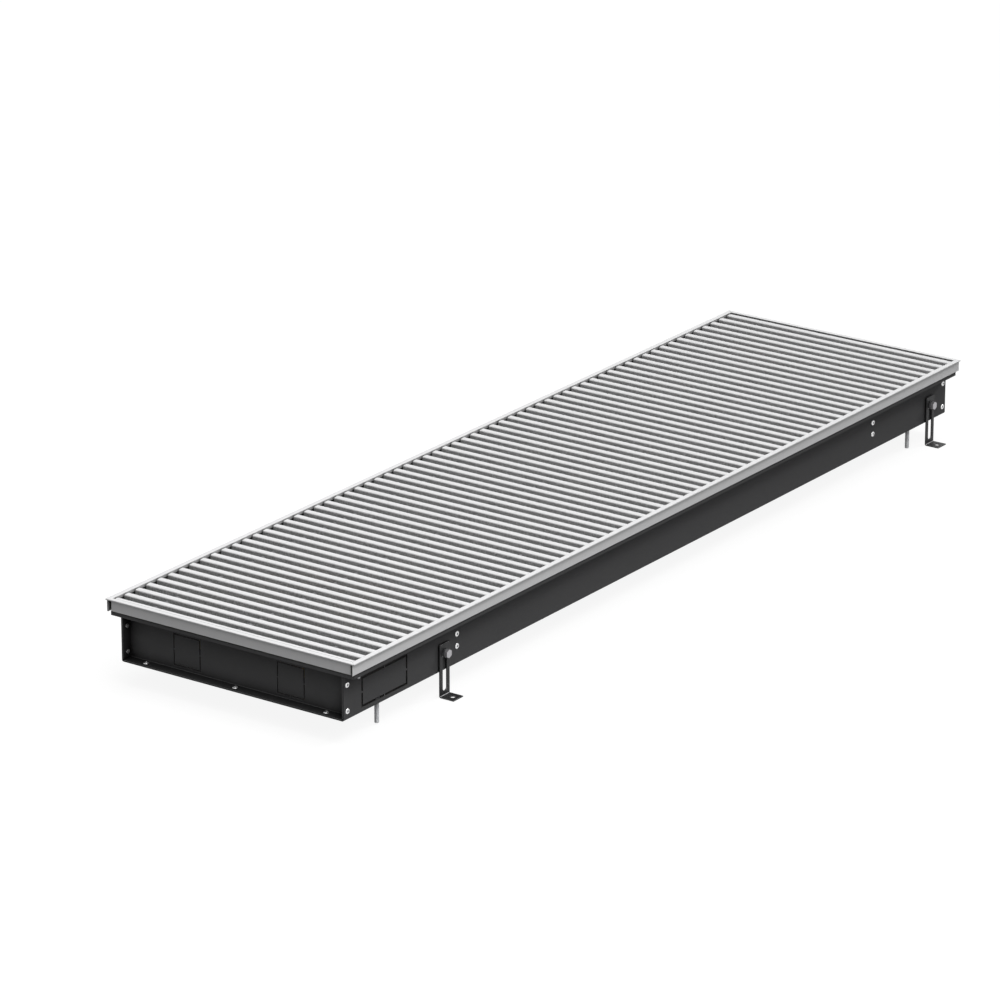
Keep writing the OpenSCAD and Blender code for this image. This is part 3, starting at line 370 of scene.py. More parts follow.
@functools.cache
def side_shade_group():
    """Painted shade on the sides: faces that do not look up get a darker share of the colour, with a random
    mottle.
    """
    tree, sketch, entry, leave = new_group(
        "Painted Side Shade", {"Side Share": 0.6, "Mottle": 0.3, "Size": 500.0})
    mask = sketch.spread(sketch.facing("Z"), 0.3, 0.8, 1.0, 0.0)
    offset = sketch.spread(sketch.noise(entry["Size"], 1.0), 0.25, 0.75, -1.0, 1.0)
    mottled = sketch.math("ADD", 1.0, sketch.math("MULTIPLY", offset, entry["Mottle"]))
    sides = sketch.tinted(entry["Colour"], sketch.math("MULTIPLY", mottled, entry["Side Share"]))
    sketch.cover(entry, leave, mask, sides)
    return tree


@functools.cache
def tarnish_group():
    """Slow stains and small spots on bare metal."""
    tree, sketch, entry, leave = new_group(
        "Tarnish", {"Stain Colour": GREY, "Amount": 0.3, "Size": 90.0, "Gloss": 0.25},
        ("Roughness", "Height"))
    slow = sketch.noise(entry["Size"], 4.0)
    spots = sketch.noise(sketch.math("MULTIPLY", entry["Size"], 9.0), 2.0)
    mask = sketch.math("MULTIPLY", sketch.spread(slow, 0.38, 0.68, 0.0, 1.0), entry["Amount"], clamp=True)
    speckle = sketch.math("MULTIPLY", sketch.spread(spots, 0.58, 0.75, 0.0, 0.6), entry["Amount"], clamp=True)
    stained = sketch.blend(mask, entry["Colour"], entry["Stain Colour"])
    sketch.feed(leave["Colour"], sketch.blend(speckle, stained, entry["Stain Colour"]))
    rough = sketch.math("ADD", entry["Gloss"], sketch.math("MULTIPLY", mask, 0.2), clamp=True)
    sketch.feed(leave["Roughness"], rough)
    sketch.feed(leave["Height"], sketch.math("SUBTRACT", spots, sketch.math("MULTIPLY", mask, 0.4)))
    return tree


def rgba(colour, share=1.0):
    """A colour times a share, with full alpha."""
    return tuple(c * share for c in colour[:3]) + (1.0,)


def blank(owner):
    """The emptied nodes of a material or a world."""
    owner.use_nodes = True
    owner.node_tree.nodes.clear()
    return Sketch(owner.node_tree)


def surface(name, make):
    """A material with a Principled shader, filled in by make(sketch, shader)."""
    material = bpy.data.materials.new(name)
    sketch = blank(material)
    shader = sketch.add("ShaderNodeBsdfPrincipled")
    sketch.add("ShaderNodeOutputMaterial", {"Surface": shader.outputs[0]})
    make(sketch, shader.inputs)
    return material


def lay(sketch, shader, base, coat, depth, normal=None):
    """Fills in a shader's colour, and a coat's roughness and bump of a real depth in metres."""
    sketch.feed(shader["Base Color"], base)
    sketch.feed(shader["Roughness"], coat["Roughness"])
    bump = sketch.add("ShaderNodeBump", {"Strength": 1.0, "Distance": depth, "Height": coat["Height"]})
    if normal:
        sketch.feed(bump.inputs["Normal"], normal)
    sketch.feed(shader["Normal"], bump.outputs[0])


def rubbed_and_highlit(sketch, coat, colour, share, amount):
    """Puts edge wear and a painted edge highlight over a coat's colour."""
    return sketch.group(wear_and_highlight_group(), colour=coat["Colour"], worn_colour=rgba(colour, share), amount=amount,
                        reach=WEAR_AND_HIGHLIGHT_REACH)["Colour"]


def extruded(colour, stretch, metallic, gloss, tint=0.035, dust=0.0, shaded_ends=False, grime=0.0,
             painted_shade_share=0.3, side_share=1.0):
    """Aluminium with grain along its extrusion, and optional painted shade on its sides, in its gaps and on
    its cut ends.
    """
    def make(sketch, shader):
        grain = sketch.group(grain_group(), colour=rgba(colour), stretch=stretch, tint=tint, gloss=gloss,
                             gloss_spread=0.07)
        base = rubbed_and_highlit(sketch, grain, colour, 1.12, 0.25)
        # Painted shade: sides that do not look up are darker than the tops.
        if side_share < 1:
            base = sketch.group(side_shade_group(), colour=base, side_share=side_share)["Colour"]
        if dust:
            base = sketch.group(dust_group(), colour=base, amount=dust)["Colour"]
        # Painted shade: gaps and recesses are darkened by ambient occlusion.
        if grime:
            base = sketch.group(crevice_shade_group(), colour=base, grime_colour=rgba(colour, painted_shade_share),
                                amount=grime, reach=12 * MM, openness=0.95)["Colour"]
        # Painted shade: faces that look along X, the section's ends, are made near black.
        if shaded_ends:
            base = sketch.group(end_shade_group(), colour=base)["Colour"]
        shader["Metallic"].default_value = metallic
        lay(sketch, shader, base, grain, 0.02 * MM)
    return make


def powder(colour, gloss=0.55, grain=900.0, dust=0.02, specular=0.05, reach=4 * MM, openness=0.78, bend=0.0):
    """Powder coat over sheet steel, with painted shade in its crevices and an optional painted highlight
    along bends.
    """
    def make(sketch, shader):
        coat = sketch.group(coat_group(), colour=rgba(colour), speck_colour=rgba(colour, 2.2), grain=grain,
                            specks=0.25, gloss=gloss)
        base = rubbed_and_highlit(sketch, coat, colour, 2.6, 0.35)
        base = sketch.group(dust_group(), colour=base, amount=dust)["Colour"]
        # Painted shade: slots and inner corners are darkened by ambient occlusion.
        base = sketch.group(crevice_shade_group(), colour=base, reach=reach, openness=openness)["Colour"]
        # Painted highlight along bends between upright and level faces.
        if bend:
            base = sketch.group(bend_highlight_group(), colour=base, amount=bend)["Colour"]
        shader["Specular IOR Level"].default_value = specular
        rounded = sketch.add("ShaderNodeBevel", {"Radius": 0.5 * MM}, samples=4).outputs[0]
        lay(sketch, shader, base, coat, 0.08 * MM, rounded)
    return make


def metal(colour, stain, gloss, amount, size, metallic=1.0, grime=0.0, reach=1.2 * MM):
    """Bare or plated metal with light tarnish, worn edges with a painted edge highlight, and optional painted
    shade in its crevices.
    """
    def make(sketch, shader):
        aged = sketch.group(tarnish_group(), colour=rgba(colour), stain_colour=rgba(stain), amount=amount,
                            size=size, gloss=gloss)
        base = rubbed_and_highlit(sketch, aged, colour, 1.15, 0.4)
        # Painted shade: crevices are darkened by ambient occlusion.
        if grime:
            base = sketch.group(crevice_shade_group(), colour=base, grime_colour=(0.03, 0.03, 0.03, 1),
                                amount=grime, reach=reach)["Colour"]
        shader["Metallic"].default_value = metallic
        lay(sketch, shader, base, aged, 0.03 * MM)
    return make


def moulded(colour, gloss, grain, depth):
    """Rubber or plastic with a fine matt skin."""
    def make(sketch, shader):
        coat = sketch.group(coat_group(), colour=rgba(colour), speck_colour=rgba(colour, 1.5), grain=grain,
                            specks=0.15, gloss=gloss)
        dusty = sketch.group(dust_group(), colour=coat["Colour"], amount=0.08)["Colour"]
        shader["Specular IOR Level"].default_value = 0.35
        lay(sketch, shader, dusty, coat, depth)
    return make


FINISHES = {}


def make_finishes(colours):
    """Every finish of the heater, by name."""
    white, black = colours.anodised, colours.casing
    long_lines, cross_lines = (9, 1300, 1300), (1300, 9, 1300)
    makers = {
        # The slats carry painted shade on their sides and in their gaps.
        "slats": extruded(white, cross_lines, 0.06, 0.45, 0.07, grime=0.75, side_share=0.62),
        # The frame carries painted shade in its gaps, and near-black painted shade on the long sections'
        # ends.
        "frame_long": extruded(white, long_lines, 0.06, 0.45, shaded_ends=True, grime=0.95, painted_shade_share=0.03),
        "frame_short": extruded(white, cross_lines, 0.06, 0.45, grime=0.95, painted_shade_share=0.03),
        "rail_long": extruded(colours.mill, long_lines, 0.9, 0.38, 0.08),
        "rail_short": extruded(colours.mill, cross_lines, 0.9, 0.38, 0.08),
        "fins": extruded((0.70, 0.71, 0.72), (1300, 700, 40), 0.9, 0.36, 0.08, dust=0.04),
        "stainless": extruded((0.62, 0.62, 0.63), (20, 1600, 1600), 1.0, 0.30, 0.07),
        "sleeve": moulded((0.20, 0.20, 0.205), 0.55, 700.0, 0.05 * MM),
        "rubber": moulded((0.022, 0.022, 0.022), 0.75, 1100.0, 0.09 * MM),
        "key": metal((0.11, 0.11, 0.115), (0.06, 0.06, 0.065), 0.5, 0.5, 120.0, 0.6),
        "casing": powder(black),
        # A darker copy of the casing coat: painted shade on the trough's inside.
        "casing_inside_shade": powder(rgba(black, 0.1), specular=0.2),
        # A paler copy of the casing coat on the end plates is painted light, making up for the shade they
        # stand in; its wide reach paints shade towards their inner corners.
        "plate": powder(rgba(black, 1.6), 0.58, dust=0.0, reach=30 * MM, openness=0.85),
        # A darker copy of the coat on the end plates' lips: painted shade.
        "plate_lip_shade": powder(rgba(black, 0.5), 0.58, dust=0.0, reach=30 * MM, openness=0.85),
        "bracket": powder(black, 0.5),
        # The feet carry a painted highlight along their bend.
        "foot": powder(colours.foot, 0.4, 1100.0, specular=0.2, bend=0.9),
        "zinc": metal(colours.zinc, (0.50, 0.51, 0.53), 0.45, 0.35, 240.0, 0.4),
        # The bolts and lock nuts carry painted shade in their crevices.
        "bolt": metal(colours.bolt, (0.36, 0.36, 0.37), 0.28, 0.4, 260.0, 0.55, grime=0.6, reach=4 * MM),
        "nut": metal((0.24, 0.24, 0.25), (0.16, 0.16, 0.17), 0.35, 0.4, 260.0, 0.8, grime=0.7, reach=6 * MM),
        "rivet": metal((0.84, 0.84, 0.84), (0.66, 0.66, 0.67), 0.26, 0.2, 400.0, 0.8),
        "stem": metal((0.17, 0.17, 0.18), (0.10, 0.10, 0.11), 0.45, 0.3, 400.0, 0.6),
        "copper": metal(colours.copper, (0.46, 0.20, 0.11), 0.28, 0.45, 45.0),
        "brass": metal(colours.brass, (0.50, 0.34, 0.13), 0.3, 0.35, 110.0),
        "nickel": metal((0.72, 0.70, 0.66), (0.55, 0.52, 0.46), 0.2, 0.3, 260.0),
    }
    for name, make in makers.items():
        FINISHES[name] = surface("finish_" + name, make)


# Mesh helpers


@functools.cache
def shade_group():
    """Geometry nodes that mark every face smooth, so that weighted normals can work on a CAD node."""
    tree = bpy.data.node_groups.new("Smooth Faces", "GeometryNodeTree")
    tree.is_modifier = True
    tree.interface.new_socket("Geometry", in_out="INPUT", socket_type="NodeSocketGeometry")
    tree.interface.new_socket("Geometry", in_out="OUTPUT", socket_type="NodeSocketGeometry")
    entry, leave = tree.nodes.new("NodeGroupInput"), tree.nodes.new("NodeGroupOutput")
    smooth = tree.nodes.new("GeometryNodeSetShadeSmooth")
    tree.links.new(entry.outputs[0], smooth.inputs["Geometry"])
    tree.links.new(smooth.outputs[0], leave.inputs[0])
    return tree


def dress(node, finish, bevel=0.0, smooth=True):
    """Gives a CAD node its finish, and softens its edges without touching its mesh."""
    piece = NODES[node]
    piece.data.materials.clear()
    piece.data.materials.append(FINISHES[finish])
    if not smooth:
        return piece
    weld = piece.modifiers.new("Weld", "WELD")
    weld.merge_threshold = SAME_POINT
    if bevel:
        soft = piece.modifiers.new("Soft Edges", "BEVEL")
        soft.width = bevel
        soft.segments = 2
        soft.limit_method = "ANGLE"
        soft.angle_limit = math.radians(32)
        soft.use_clamp_overlap = True
    shade = piece.modifiers.new("Smooth Faces", "NODES")
    shade.node_group = shade_group()
    even = piece.modifiers.new("Even Normals", "WEIGHTED_NORMAL")
    even.weight = 90
    even.keep_sharp = False
    return piece


def stand(name, mesh, finish, body, nodes, crease=35):
    """Turns a bmesh into a piece that rides on a body and stands for CAD nodes."""
    data = bpy.data.meshes.new(name)
    bmesh.ops.recalc_face_normals(mesh, faces=mesh.faces)
    mesh.to_mesh(data)
    mesh.free()
    data.shade_smooth()
    data.set_sharp_from_angle(angle=math.radians(crease))
    data.materials.append(FINISHES[finish])
    piece = bpy.data.objects.new(name, data)
    bpy.context.scene.collection.objects.link(piece)
    even = piece.modifiers.new("Even Normals", "WEIGHTED_NORMAL")
    even.keep_sharp = True
    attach(piece, body)
    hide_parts(*nodes)
    return piece


def solids(node):
    """The lowest and highest corner of each separate solid in a CAD node, in order along X, Y and Z."""
    mesh = bmesh.new()
    mesh.from_mesh(NODES[node].data)
    bmesh.ops.remove_doubles(mesh, verts=mesh.verts, dist=SAME_POINT)
    left, boxes = set(mesh.verts), []
    while left:
        island, edge_of_search = set(), [left.pop()]
        while edge_of_search:
            vertex = edge_of_search.pop()
            island.add(vertex)
            for edge in vertex.link_edges:
                other = edge.other_vert(vertex)
                if other in left:
                    left.discard(other)
                    edge_of_search.append(other)
        corners = [[pick(v.co[axis] for v in island) for axis in range(3)] for pick in (min, max)]
        boxes.append((Vector(corners[0]), Vector(corners[1])))
    mesh.free()
    return sorted(boxes, key=lambda box: tuple(round(c, 5) for c in (box[0] + box[1]) / 2))


def ring_wall(mesh, first, second):
    """Faces between two closed rings of as many vertices."""
    count = len(first)
    for i in range(count):
        j = (i + 1) % count
        mesh.faces.new((first[i], first[j], second[j], second[i]))


def ring(mesh, points):
    return [mesh.verts.new(point) for point in points]


def axis_matrix(place, direction, turn=0.0):
    """Takes +Z to a direction at a place, turned about it."""
    aimed = UP.rotation_difference(Vector(direction)).to_matrix().to_4x4()
    return Matrix.Translation(place) @ aimed @ Matrix.Rotation(turn, 4, "Z")


def round_point(matrix, radius, angle, height):
    """A point at a radius, an angle and a height about a matrix's Z axis."""
    return matrix @ Vector((radius * math.cos(angle), radius * math.sin(angle), height))


def full_turn(steps):
    """Even angles once round."""
    return [2 * math.pi * i / steps for i in range(steps)]


def circle(mesh, matrix, radius, height, steps):
    return ring(mesh, [round_point(matrix, radius, angle, height) for angle in full_turn(steps)])


def revolve(mesh, outline, matrix, steps):
    """Turns an outline of radius and height about an axis. A radius of zero closes it."""
    rings = []
    for radius, height in outline:
        if radius == 0:
            rings.append(ring(mesh, [round_point(matrix, 0, 0, height)]))
        else:
            rings.append(circle(mesh, matrix, radius, height, steps))
    for first, second in zip(rings, rings[1:]):
        if len(first) == 1 or len(second) == 1:
            tip, around = (first[0], second) if len(first) == 1 else (second[0], first)
            for i in range(steps):
                mesh.faces.new((tip, around[i], around[(i + 1) % steps]))
        else:
            ring_wall(mesh, first, second)


def hexagon_radius(angle, flats):
    """Distance from a hexagon's middle to its side, at an angle from a corner."""
    within = (angle + math.pi / 6) % (math.pi / 3) - math.pi / 6
    return flats / 2 / math.cos(math.pi / 6 - abs(within))


def hexagon_block(mesh, flats, height, matrix, slope, both_ends, hole=0.0, side_steps=8):
    """A hexagon with chamfered corners, as on a bolt head or a nut, from z = 0 to its height."""
    trim = 1.14 * flats / 2
    shoulder = 0.012 * flats
    angles = full_turn(6 * side_steps)
    sides = [hexagon_radius(angle, flats) for angle in angles]
    faces = [min(radius - shoulder, trim) for radius in sides]
    drops = [(radius - face) * math.tan(slope) for radius, face in zip(sides, faces)]

    def outline(radii, heights):
        return ring(mesh, [round_point(matrix, *point) for point in zip(radii, angles, heights)])

    def level(z):
        return [z] * len(angles)

    if both_ends:
        low_edge = outline(sides, drops)
        low_face = outline(faces, level(0))
        ring_wall(mesh, low_face, low_edge)
    else:
        low_edge = low_face = outline(sides, level(0))
    high_edge = outline(sides, [height - drop for drop in drops])
    high_face = outline(faces, level(height))
    ring_wall(mesh, low_edge, high_edge)
    ring_wall(mesh, high_edge, high_face)
    if not hole:
        mesh.faces.new(low_face)
        mesh.faces.new(high_face)
        return
    lead = 0.12 * hole
    bore = [low_face]
    for radius, z in ((hole + lead, 0), (hole, lead), (hole, height - lead), (hole + lead, height)):
        bore.append(outline(level(radius), level(z)))
    bore.append(high_face)
    for first, second in zip(bore, bore[1:]):
        ring_wall(mesh, first, second)


def thread(mesh, radius, length, matrix, hardware):
    """A threaded shank from z = 0 up: its rows climb with the helix, and both ends are led in."""
    flank = (0.0, 0.45, 1.0, 0.55)
    pitch, depth, steps = hardware.thread_pitch, hardware.thread_depth, hardware.thread_steps
    rows = (math.ceil(length / pitch) + 1) * len(flank) + 1
    grid = []
    for row in range(rows):
        line = []
        for i, angle in enumerate(full_turn(steps)):
            z = min(max(pitch * (row / len(flank) + i / steps) - pitch, 0.0), length)
            taper = min(1.0, (min(z, length - z) + 0.1 * MM) / hardware.thread_lead)
            cut = max(flank[row % len(flank)], 1 - taper)
            line.append(mesh.verts.new(round_point(matrix, radius - depth * cut, angle, z)))
        grid.append(line)
    for row in range(rows - 1):
        for i in range(steps - 1):
            mesh.faces.new((grid[row][i], grid[row][i + 1], grid[row + 1][i + 1], grid[row + 1][i]))
        above = row + len(flank)
        if above + 1 < rows:
            mesh.faces.new((grid[row][-1], grid[above][0], grid[above + 1][0], grid[row + 1][-1]))
    for z in (0.0, length):
        mesh.faces.new(circle(mesh, matrix, radius - depth, z, steps))


# Operators


class HEATER_OT_slats(bpy.types.Operator):
    """Builds the grille's hollow slats with rounded upper edges, and dresses its bar, rods and sleeves"""

    bl_idname = "heater.slats"
    bl_label = "Grille Slats"
    least_radius = 0.05 * MM
    foot_steps = 3

    def section(self, size, shape, inset):
        """Closed outline of a slat's section, hung from its top's middle and drawn in by an inset."""
        half = size.x / 2 - inset
        top = max(shape.edge_radius - inset, self.least_radius)
        foot = max(shape.foot_radius - inset, self.least_radius)
        points = []
        for side, at_top, start in ((1, False, -90), (1, True, 0), (-1, True, 90), (-1, False, 180)):
            radius, steps = (top, shape.edge_steps) if at_top else (foot, self.foot_steps)
            middle_x = side * (half - radius)
            middle_z = -inset - radius if at_top else inset - size.z + radius
            for i in range(steps + 1):
                angle = math.radians(start + 90 * i / steps)
                points.append((middle_x + radius * math.cos(angle), middle_z + radius * math.sin(angle)))
        return points

    def execute(self, context):
        shape = context.scene.heater_slats
        edge = context.scene.heater_sheets
        bevel = shape.end_bevel
        mesh = bmesh.new()
        for low, high in solids("grille_slats"):
            size, middle = high - low, (low.x + high.x) / 2

            def slice_at(y, inset):
                points = self.section(size, shape, inset)
                return ring(mesh, [(middle + x, y, high.z + z) for x, z in points])

            outer = [slice_at(low.y, bevel), slice_at(low.y + bevel, 0.0)]
            outer += [slice_at(high.y - bevel, 0.0), slice_at(high.y, bevel)]
            inner = [slice_at(y, shape.wall) for y in (low.y, high.y)]
            for first, second in zip(outer, outer[1:]):
                ring_wall(mesh, first, second)
            ring_wall(mesh, inner[0], inner[1])
            ring_wall(mesh, outer[0], inner[0])
            ring_wall(mesh, outer[-1], inner[-1])
        stand("slat_bars", mesh, "slats", "grille", ["grille_slats"])
        dress("grille_end_bar", "slats", edge.extrusion_edge)
        dress("grille_rods", "stainless", edge.small_edge)
        dress("rod_sleeves", "sleeve", edge.small_edge)
        return {"FINISHED"}


class HEATER_OT_frame(bpy.types.Operator):
    """Dresses the aluminium frame and its corner keys"""

    bl_idname = "heater.frame"
    bl_label = "Frame"

    def execute(self, context):
        edge = context.scene.heater_sheets.extrusion_edge
        for side in SIDES:
            dress("frame_" + side, "frame_long", edge)
        for end in ENDS:
            dress("frame_" + end + "_end", "frame_short", edge)
        dress("corner_keys", "key", context.scene.heater_sheets.small_edge)
        return {"FINISHED"}


class HEATER_OT_seat(bpy.types.Operator):
    """Dresses the rails and rubber strips that the grille sits on"""

    bl_idname = "heater.seat"
    bl_label = "Grille Seat"

    def execute(self, context):
        edge = context.scene.heater_sheets.small_edge
        for place in SIDES + ENDS:
            dress("seat_rail_" + place, "rail_long" if place in SIDES else "rail_short", edge)
            dress("damping_strip_" + place, "rubber", edge)
        dress("rail_screws", "zinc", edge * 0.5)
        return {"FINISHED"}


class HEATER_OT_casing(bpy.types.Operator):
    """Dresses the powder-coated trough, its end plates and the brackets, with darker copies of the coat as
    painted shade inside the trough and on the plates' lips
    """

    bl_idname = "heater.casing"
    bl_label = "Casing"
    # The wall's outer face is looked for below this height, and faces within it by the skin are inside.
    below_flange = 50 * MM
    skin = 0.2 * MM
    # The share of an axis in a face's normal, past which the face counts as looking that way.
    share = 0.5

    def shaded_copy_coat(self, piece, finish, chosen):
        """Gives the chosen faces of a piece another finish: here a darker copy of its coat, as painted shade.
        """
        piece.data.materials.append(FINISHES[finish])
        for face in piece.data.polygons:
            face.material_index = 1 if chosen(face) else 0

    def execute(self, context):
        casing = dress("casing", "casing", smooth=False)
        outer_wall = max(abs(v.co.y) for v in casing.data.vertices if v.co.z < self.below_flange)
        within = outer_wall - self.skin
        # Painted shade: the trough's inside gets a near-black copy of the coat.
        self.shaded_copy_coat(casing, "casing_inside_shade",
                         lambda face: abs(face.center.y) < within and face.normal.z > -self.share)
        for end in ENDS:
            plate = dress("end_plate_" + end, "plate", smooth=False)
            # Painted shade: the plates' lips, which do not face along X, get a darker copy of the coat.
            self.shaded_copy_coat(plate, "plate_lip_shade", lambda face: abs(face.normal.x) < self.share)
            dress("bracket_" + end, "bracket", smooth=False)
        return {"FINISHED"}


class HEATER_OT_rivets(bpy.types.Operator):
    """Builds the blind rivets, with a domed head and the broken stem in its hollow"""

    bl_idname = "heater.rivets"
    bl_label = "Rivets"
    head = 1.1 * MM
    rim = 0.18 * MM
    dome_steps = 6
    stem_share = 0.4
    stem_depth = 2 * MM

    def outline(self, radius, length):
        """Radius and height along a rivet, from its bulged tail to the stem in its head's hollow."""
        tail, shank, grip = radius * 0.8, radius * 0.55, length - self.head
        points = [(0, 0), (tail * 0.6, 0), (tail * 0.95, 0.3 * MM), (tail, 1 * MM), (tail * 0.9, 1.7 * MM),
                  (shank, 2 * MM), (shank, grip), (radius * 0.97, grip), (radius, grip + self.rim)]
        for i in range(1, self.dome_steps + 1):
            angle = math.pi / 2 * i / self.dome_steps
            points.append((radius * (0.5 + 0.5 * math.cos(angle)) * 0.99,
                           grip + self.rim + (self.head - self.rim) * math.sin(angle)))
        hollow = ((0.46, 0.08), (0.44, 0.3), (0.43, 0.9))
        stem = ((self.stem_share, 0.9), (self.stem_share, 0.3), (0.34, 0.16), (0, 0.12))
        return points + [(radius * share, length - depth * MM) for share, depth in hollow + stem]

    def execute(self, context):
        steps = context.scene.heater_hardware.turn_steps
        for node in ("end_plate_rivets", "bracket_rivets"):
            mesh = bmesh.new()
            for low, high in solids(node):
                size, middle = high - low, (low + high) / 2
                outward, length = UP, size.z
                if size.y < size.z:
                    outward, length = Vector((0, math.copysign(1, middle.y), 0)), size.y
                radius = size.x / 2
                foot = middle - outward * (length / 2)
                older = set(mesh.faces)
                revolve(mesh, self.outline(radius, length), axis_matrix(foot, outward), steps)
                for face in set(mesh.faces) - older:
                    reach = face.calc_center_median() - foot
                    along = reach.dot(outward)
                    across = (reach - outward * along).length
                    on_stem = across < radius * self.stem_share and along > length - self.stem_depth
                    face.material_index = 1 if on_stem else 0
            name = node.replace("rivets", "blind_rivets")
            piece = stand(name, mesh, "rivet", "heater_body", [node], 40)
            piece.data.materials.append(FINISHES["stem"])
        return {"FINISHED"}


class HEATER_OT_exchanger(bpy.types.Operator):
    """Dresses the finned coil: fins, copper tubes and return bends"""

    bl_idname = "heater.exchanger"
    bl_label = "Heat Exchanger"

    def execute(self, context):
        edge = context.scene.heater_sheets.small_edge
        dress("heat_exchanger_fins", "fins", smooth=False)
        for row in ("outer", "inner"):
            for side in SIDES:
                dress("tube_" + row + "_" + side, "copper", edge)
        for place in ("front", "back", "near"):
            dress("return_bend_" + place, "copper")
        return {"FINISHED"}


class HEATER_OT_connections(bpy.types.Operator):
    """Builds the brass water connections, and dresses the slotted air vent screw"""

    bl_idname = "heater.connections"
    bl_label = "Water Connections"
    flats = 27 * MM
    hexagon_length = 14 * MM
    bore = 9.3 * MM
    bore_depth = 12.5 * MM
    neck = 10.5 * MM
    way = 6 * MM
    socket = 7.6 * MM
    socket_depth = 12 * MM

    def neck_outline(self, length):
        """Radius and height along the neck, outside and then back through the tube's socket."""
        lip = 0.3 * MM
        return [(self.neck, self.hexagon_length - 0.1 * MM), (self.neck, length - 0.6 * MM),
                (self.neck - 0.2 * MM, length), (self.socket + lip, length), (self.socket, length - 0.4 * MM),
                (self.socket, length - self.socket_depth), (self.way, length - self.socket_depth),
                (self.way, self.bore_depth), (self.bore, self.bore_depth)]

    def execute(self, context):
        hardware = context.scene.heater_hardware
        vent_boss = [(5, 8), (5, 16.6), (4.6, 17), (3.3, 17), (3.05, 16.7), (3.05, 10.4), (1, 10.4), (1, 6)]
        vent_place = Vector((21 * MM, 0, 0))
        for name, vented in (("flow_connection", False), ("return_connection", True)):
            low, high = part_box(name)
            place = Vector((low.x, (low.y + high.y) / 2, low.z + self.flats / 2))
            matrix = axis_matrix(place, (1, 0, 0))
            mesh = bmesh.new()
            hexagon_block(mesh, self.flats, self.hexagon_length, matrix, hardware.chamfer_angle, True,
                          self.bore, side_steps=10)
            revolve(mesh, self.neck_outline(high.x - low.x), matrix, hardware.turn_steps)
            if vented:
                outline = [(radius * MM, height * MM) for radius, height in vent_boss]
                revolve(mesh, outline, axis_matrix(place + vent_place, UP), hardware.turn_steps)
            stand(name.replace("connection", "fitting"), mesh, "brass", "heater_body", [name])
        dress("vent_screw", "nickel", context.scene.heater_sheets.small_edge)
        return {"FINISHED"}


class HEATER_OT_feet(bpy.types.Operator):
    """Dresses the bent feet, and builds their hexagon bolts and lock nuts"""

    bl_idname = "heater.feet"
    bl_label = "Feet"
    head = 4 * MM
    shank_radius = 3 * MM
    nut_hole = 3.06 * MM

    def bolt(self, corner, outward, hardware):
        node = "foot_bolt_" + corner
        low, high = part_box(node)
        outer_y = low.y if outward.y < 0 else high.y
        seat = Vector(((low.x + high.x) / 2, outer_y - outward.y * self.head, (low.z + high.z) / 2))
        mesh = bmesh.new()
        hexagon_block(mesh, high.x - low.x, self.head, axis_matrix(seat, outward, math.pi / 2),
                      hardware.chamfer_angle, False)
        shank = high.y - low.y - self.head
        thread(mesh, self.shank_radius, shank, axis_matrix(seat, -outward), hardware)
        stand("hex_bolt_" + corner, mesh, "bolt", node, [node])

    def nut(self, corner, outward, hardware):
        node = "lock_nut_" + corner
        low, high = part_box(node)
        seat = Vector(((low.x + high.x) / 2, low.y if outward.y > 0 else high.y, (low.z + high.z) / 2))
        mesh = bmesh.new()
        hexagon_block(mesh, high.z - low.z, high.y - low.y, axis_matrix(seat, outward, math.pi * 2 / 3),
                      hardware.chamfer_angle, True, self.nut_hole)
        stand("hex_nut_" + corner, mesh, "nut", node, [node])

    def execute(self, context):
        hardware = context.scene.heater_hardware
        for corner in CORNERS:
            dress("foot_" + corner, "foot", context.scene.heater_sheets.sheet_edge)
            outward = Vector((0, -1 if corner.endswith("front") else 1, 0))
            self.bolt(corner, outward, hardware)
            self.nut(corner, outward, hardware)
        return {"FINISHED"}


class HEATER_OT_levelling(bpy.types.Operator):
    """Builds the threaded levelling screws, and dresses the rivet nuts"""

    bl_idname = "heater.levelling"
    bl_label = "Levelling Screws"

    def execute(self, context):
        hardware = context.scene.heater_hardware
        for corner in CORNERS:
            node = "levelling_screw_" + corner
            low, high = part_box(node)
            size, middle = high - low, (low + high) / 2
            mesh = bmesh.new()
            thread(mesh, size.x / 2, size.z, axis_matrix((middle.x, middle.y, low.z), UP), hardware)
            stand("threaded_pin_" + corner, mesh, "zinc", node, [node])
        for place in ("wall", "floor"):
            dress(place + "_rivet_nuts", "zinc", context.scene.heater_sheets.small_edge)
        return {"FINISHED"}


class HEATER_OT_nuts(bpy.types.Operator):
    """Builds the small hexagon nuts, and dresses the earth screw"""

    bl_idname = "heater.nuts"
    bl_label = "Small Nuts"
    play = 0.05

    def execute(self, context):
        slope = context.scene.heater_hardware.chamfer_angle
        # Each kind's node, axis, flats and thread radius in millimetres, finish and body
        kinds = (("rod_nuts", (1, 0, 0), 8, 2.5, "stainless", "grille"),
                 ("rail_screw_nuts", (0, 0, -1), 5.5, 1.5, "zinc", "heater_body"),
                 ("earth_nut", (0, 1, 0), 7, 2, "zinc", "heater_body"))
        for node, direction, flats, thread_radius, finish, body in kinds:
            axis = Vector(direction)
            hole = (thread_radius + self.play) * MM
            mesh = bmesh.new()
            for low, high in solids(node):
                thick = abs((high - low).dot(axis))
                matrix = axis_matrix((low + high) / 2 - axis * thick / 2, axis)
                hexagon_block(mesh, flats * MM, thick, matrix, slope, True, hole, side_steps=5)
            stand("hex_" + node, mesh, finish, body, [node])
        dress("earth_screw", "zinc", context.scene.heater_sheets.small_edge)
        return {"FINISHED"}


